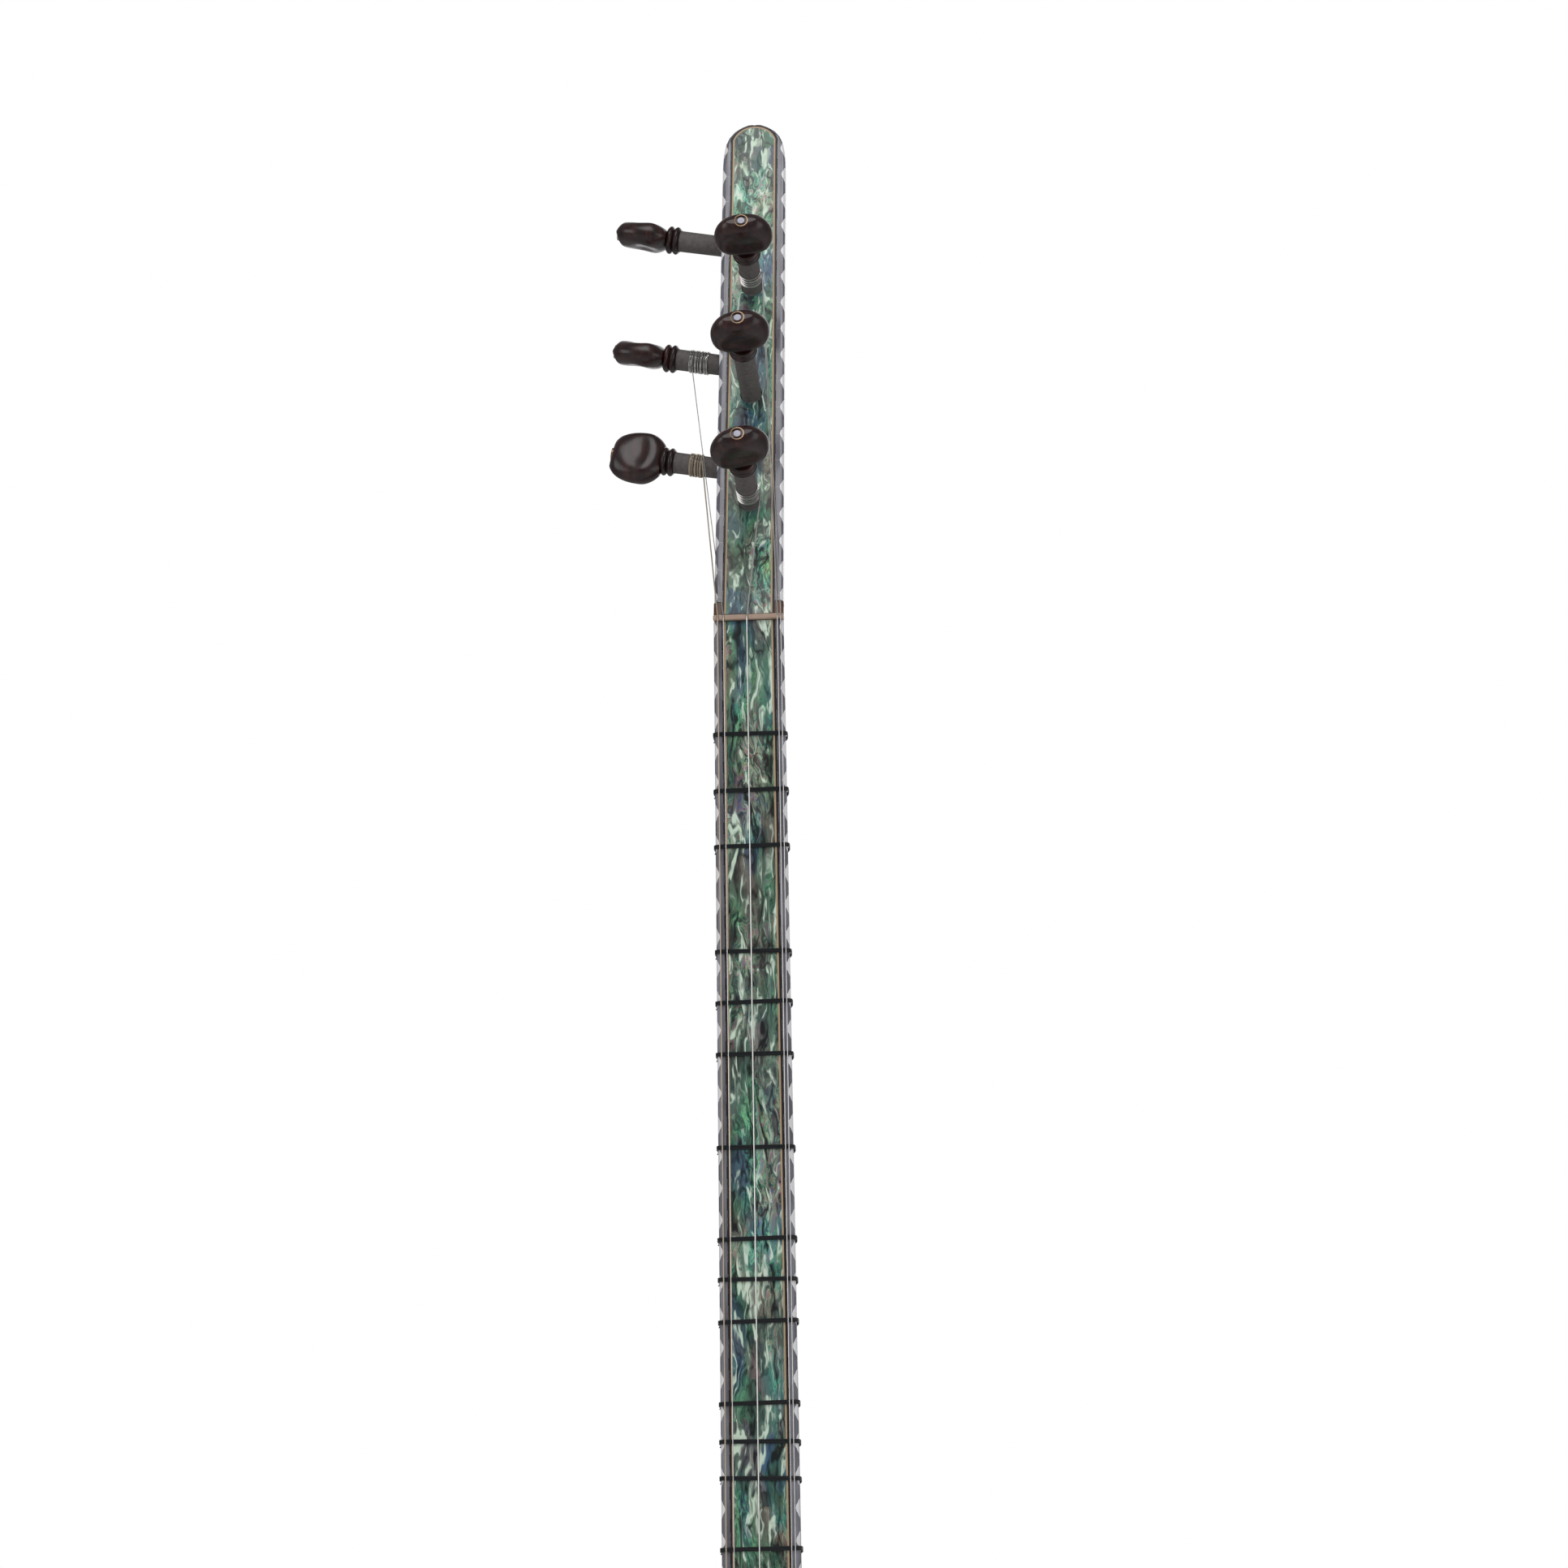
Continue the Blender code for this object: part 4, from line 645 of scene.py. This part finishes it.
def peg_frames():
    """Each peg's name with its frame (z out of the peghead) and its reach."""
    pegs = {}
    for i, (s, reach, spin) in enumerate(FRONT_PEGS):
        matrix = (PEGHEAD_FRAME @ Matrix.Translation((0, 0, s))
                  @ Matrix.Rotation(math.radians(90), 4, "X")
                  @ Matrix.Rotation(math.radians(spin), 4, "Z"))
        pegs[f"front_peg_{i + 1}"] = (matrix, reach)
    for i, (s, spin) in enumerate(SIDE_PEGS):
        half = (PEGHEAD_WIDTH - PEGHEAD_NARROWING * s / PEGHEAD_LENGTH) / 2
        matrix = (PEGHEAD_FRAME @ Matrix.Translation((-half, SIDE_DEPTH, s))
                  @ Matrix.Rotation(math.radians(-90 + SIDE_LEAN), 4, "Y")
                  @ Matrix.Rotation(math.radians(spin), 4, "Z"))
        pegs[f"side_peg_{i + 1}"] = (matrix, SIDE_REACH)
    return pegs


def head_size(share):
    """Half width and half thickness at a share of the head's length.

    The width is a superellipse about its widest place. The thickness rises as a sine, then falls evenly,
    and closes as a quarter ellipse at the end.
    """
    widest = 0.46
    oval_start = -0.035
    oval_end = 1.04
    oval_power = 2.3
    swell_start = 0.22
    swell_rate = 1.9
    thin_start = 0.3
    thin_share = 0.42
    close_start = 0.86
    close_length = 0.145
    least_square = 0.05
    above = (share - widest) / (oval_end - widest)
    below = (widest - share) / (widest - oval_start)
    offset = np.where(share > widest, above, below)
    outline = np.sqrt(np.maximum(0, 1 - offset ** oval_power))
    wide = HEAD_ROOT_HALF + (HEAD_HALF_WIDTH - HEAD_ROOT_HALF) * outline
    swell = np.sin(np.pi * np.minimum(1.0, share * swell_rate + swell_start) / 2)
    thinning = 1 - thin_share * np.maximum(0, share - thin_start) / (1 - thin_start)
    past = np.maximum(0, (share - close_start) / close_length)
    closing = np.sqrt(np.maximum(least_square, 1 - past ** 2))
    return wide, HEAD_HALF_THICKNESS * swell * thinning * closing


class SAZ_OT_pegs(bpy.types.Operator):
    """Turned and carved pegs: shaft, beaded collar, an oval head with hollowed thumb faces, windings"""
    bl_idname = "saz.pegs"
    bl_label = "Pegs"

    def execute(self, context):
        pegs = peg_frames()
        for name, (matrix, reach) in pegs.items():
            self.head(name, matrix, reach)
            self.shaft(name, matrix, reach)
            self.dot(name, matrix, reach)
        for name, start, pitch, turns, finish in WINDINGS:
            self.winding(name, pegs[name][0], start, pitch, turns, finish, context.scene.saz.winding_radius)
        return {"FINISHED"}

    def head(self, name, matrix, reach):
        """Oval rings along the head. A bell-shaped hollow presses in the two broad faces."""
        sides = 56
        body_rings = 26
        tip_rings = 12
        body_start = 0.03
        body_end = 0.86
        tip_start = 0.1
        hollow_middle = 0.42
        hollow_spread = 0.28
        hollow_depth = 0.42
        hollow_width = 0.78
        closing = body_end + (1 - body_end) * np.sin(np.linspace(tip_start, np.pi / 2, tip_rings))
        share = np.concatenate([np.linspace(body_start, body_end, body_rings), closing])
        turn = np.linspace(0, 2 * np.pi, sides, endpoint=False)
        wide, thick = head_size(share)
        press = hollow_depth * np.exp(-((share - hollow_middle) / hollow_spread) ** 2)[:, None]
        hollow = 1 - press * np.clip(1 - (np.cos(turn) / hollow_width) ** 2, 0, 1)[None, :]
        x = wide[:, None] * np.cos(turn)[None, :]
        y = thick[:, None] * np.sin(turn)[None, :] * hollow
        z = np.repeat((reach - HEAD_LENGTH + HEAD_LENGTH * share)[:, None], sides, 1)
        surface = carried(matrix, np.stack([x, y, z], -1))
        mesh = grid_mesh(name + "_head", surface, close_v=True, cap=True)
        made = piece(name + "_head", mesh, "rosewood", name, 50)
        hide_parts(name)

    def shaft(self, name, matrix, reach):
        """The shaft outside the peghead, a slow cone, and two beads, the size of a sine, below the head."""
        sides = 32
        rod_rings = 12
        bead_rings = 36
        bead_shift = 0.02
        bead_power = 0.8
        bead_root = 4.7 * MM
        bead_rise = 1.3 * MM
        into_head = 0.8 * MM
        face_gap = 0.2 * MM
        collar = reach - HEAD_LENGTH - COLLAR_LENGTH
        t = np.linspace(0, 1, bead_rings)
        swell = np.clip(np.abs(np.sin(2 * np.pi * (t - bead_shift))), 0, 1)
        bead = bead_root + bead_rise * swell ** bead_power
        beads = np.column_stack([bead, collar + (COLLAR_LENGTH + into_head) * t])
        rod = np.column_stack([np.linspace(SHAFT_RADIUS_INNER, SHAFT_RADIUS, rod_rings),
                               np.linspace(face_gap, collar, rod_rings)])
        for word, profile, finish in (("shaft", rod, "chalk"), ("collar", beads, "rosewood")):
            surface = carried(matrix, turned(profile, sides))
            mesh = grid_mesh(f"{name}_{word}", surface, close_v=True, cap=True)
            piece(f"{name}_{word}", mesh, finish, name, 60)

    def dot(self, name, matrix, reach):
        """A pearl dot and a brass ring let into the head's end: two shallow turned rings."""
        sides = 32
        inner_rise = 0.25 * MM
        outer_rise = 0.20 * MM
        sunk = 1.2 * MM
        heights = reach + np.array([inner_rise, outer_rise, -sunk, -sunk])
        for word, inner, outer, finish in (("dot", 0.02 * MM, 1.45 * MM, "cream"),
                                           ("ring", 2.5 * MM, 2.9 * MM, "brass")):
            profile = np.column_stack([[inner, outer, outer, inner], heights])
            surface = carried(matrix, turned(profile, sides))
            mesh = grid_mesh(f"{name}_{word}", surface, close_u=True, close_v=True)
            piece(f"{name}_{word}", mesh, finish, name)

    def winding(self, name, matrix, start, pitch, turns, finish, radius):
        """A helix of wire round the shaft, whose pitch wavers a little by a sine."""
        steps_per_turn = 24
        waver = 0.2 * MM
        waver_rate = 2.3
        t = np.linspace(0, turns, turns * steps_per_turn)
        size = SHAFT_RADIUS + radius
        path = np.column_stack([size * np.cos(2 * np.pi * t), size * np.sin(2 * np.pi * t),
                                start + pitch * t + waver * np.sin(t * waver_rate)])
        mesh = grid_mesh(name + "_winding", tube(carried(matrix, path), radius), close_v=True, cap=True)
        piece(name + "_winding", mesh, finish, name)


class SAZ_OT_pickup_poles(bpy.types.Operator):
    """Six round pole pieces on the pickup, as turned profiles with a soft edge"""
    bl_idname = "saz.pickup_poles"
    bl_label = "Pickup poles"

    def execute(self, context):
        sides = 24
        low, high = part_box("pickup")
        # Radius and depth of the pole's top, soft edge and side
        profile = MM * np.array([[0.1, -0.6], [2.0, -0.6], [2.4, -0.3], [2.4, 1.0]])
        rings = turned(profile, sides)
        for i, x in enumerate(np.linspace(-POLE_SPREAD, POLE_SPREAD, POLE_COUNT)):
            surface = np.stack([x + rings[..., 0], low.y + rings[..., 2],
                                (low.z + high.z) / 2 + rings[..., 1]], -1)
            name = f"pickup_pole_{i + 1}"
            piece(name, grid_mesh(name, surface, close_v=True, cap=True), "nickel", ROOT)
        return {"FINISHED"}


class SAZ_OT_stage(bpy.types.Operator):
    """Camera, soft lamps, white world and a pale floor below the instrument"""
    bl_idname = "saz.stage"
    bl_label = "Stage"

    def execute(self, context):
        self.camera(context.scene)
        for lamp in LAMPS:
            self.lamp(context.scene, *lamp)
        self.world(context.scene)
        self.floor(context.scene)
        context.scene.view_settings.view_transform = "Standard"
        return {"FINISHED"}

    def camera(self, scene):
        """A camera aimed by its yaw and pitch, then rolled about its own axis."""
        lens = bpy.data.cameras.new("photo_camera")
        lens.sensor_width = SENSOR_WIDTH
        lens.lens = FOCAL_PIXELS / IMAGE_PIXELS * SENSOR_WIDTH
        lens.clip_end = CLIP_END
        pitch = math.radians(CAMERA_PITCH)
        yaw = math.radians(CAMERA_YAW)
        roll = math.radians(CAMERA_ROLL)
        ahead = Vector((-math.sin(yaw) * math.cos(pitch), math.cos(yaw) * math.cos(pitch), math.sin(pitch)))
        level = Vector((math.cos(yaw), math.sin(yaw), 0))
        upward = level.cross(ahead)
        right = level * math.cos(roll) + upward * math.sin(roll)
        up = upward * math.cos(roll) - level * math.sin(roll)
        turn = Matrix((right, up, -ahead)).transposed().to_4x4()
        camera = bpy.data.objects.new("photo_camera", lens)
        scene.collection.objects.link(camera)
        camera.matrix_world = Matrix.Translation(Vector(CAMERA_PLACE)) @ turn
        scene.camera = camera

    def lamp(self, scene, name, place, target, power, size):
        """A square lamp at its place, turned to its target."""
        light = bpy.data.lights.new(name, "AREA")
        light.energy = power
        light.size = size
        made = bpy.data.objects.new(name, light)
        scene.collection.objects.link(made)
        made.location = place
        made.rotation_euler = (Vector(target) - Vector(place)).to_track_quat("-Z", "Y").to_euler()

    def world(self, scene):
        """White where the camera looks, also through glass, and dimmer as light and in reflections."""
        world = bpy.data.worlds.new("studio")
        scene.world = world
        world.use_nodes = True
        tree = world.node_tree
        rays = node(tree, "ShaderNodeLightPath", {}).node.outputs
        seen = node(tree, "ShaderNodeMath", {0: rays["Is Camera Ray"], 1: rays["Is Transmission Ray"]},
                    operation="MAXIMUM")
        extra = node(tree, "ShaderNodeMath", {0: seen, 1: 1 - WORLD_LIGHT}, operation="MULTIPLY")
        level = node(tree, "ShaderNodeMath", {0: WORLD_LIGHT, 1: extra}, operation="ADD")
        fill(tree, tree.nodes["Background"], {"Color": WHITE, "Strength": level})

    def floor(self, scene):
        """A wide flat grid a little below the tail, in pale matt paint with a faint mottle."""
        mottle_share = 0.04
        low = CAD_BOX[0][2] - FLOOR_DROP
        across = np.linspace(-FLOOR_HALF, FLOOR_HALF, 5)
        x, y = np.meshgrid(across, across, indexing="ij")
        surface = np.stack([x, y, np.full_like(x, low)], -1)
        made = bpy.data.objects.new("floor", grid_mesh("floor", surface))
        scene.collection.objects.link(made)
        material, tree, shader, spot = blank("floor_matt_paint")
        mottle = node(tree, "ShaderNodeTexNoise", {"Vector": spot, "Scale": scale_of(25.0), "Detail": 2.0})
        share = node(tree, "ShaderNodeMath", {0: mottle, 1: mottle_share}, operation="MULTIPLY")
        tone = node(tree, "ShaderNodeMix", {0: share, 6: scene.saz.floor_colour, 7: WHITE}, 2,
                    data_type="RGBA")
        fill(tree, shader, {"Base Color": tone, "Roughness": 0.8})
        made.data.materials.append(material)


class SAZ_PT_panel(bpy.types.Panel):
    """Sidebar list of the settings and the finishing steps"""
    bl_label = "Electric saz"
    bl_idname = "SAZ_PT_panel"
    bl_space_type = "VIEW_3D"
    bl_region_type = "UI"
    bl_category = "Saz"

    def draw(self, context):
        for name in ("fret_turns", "line_width", "winding_radius", "floor_colour"):
            self.layout.prop(context.scene.saz, name)
        for step in STEPS:
            self.layout.operator(step.bl_idname)


STEPS = (SAZ_OT_carried, SAZ_OT_inlay_lines, SAZ_OT_frets, SAZ_OT_pegs, SAZ_OT_pickup_poles, SAZ_OT_stage)
CLASSES = (SazSettings,) + STEPS + (SAZ_PT_panel,)


def register():
    for item in CLASSES:
        bpy.utils.register_class(item)
    bpy.types.Scene.saz = bpy.props.PointerProperty(type=SazSettings)


def unregister():
    del bpy.types.Scene.saz
    for item in reversed(CLASSES):
        bpy.utils.unregister_class(item)


def main():
    register()
    bpy.ops.saz.carried()
    bpy.ops.saz.inlay_lines()
    bpy.ops.saz.frets()
    bpy.ops.saz.pegs()
    bpy.ops.saz.pickup_poles()
    bpy.ops.saz.stage()


if __name__ == "__main__":
    main()
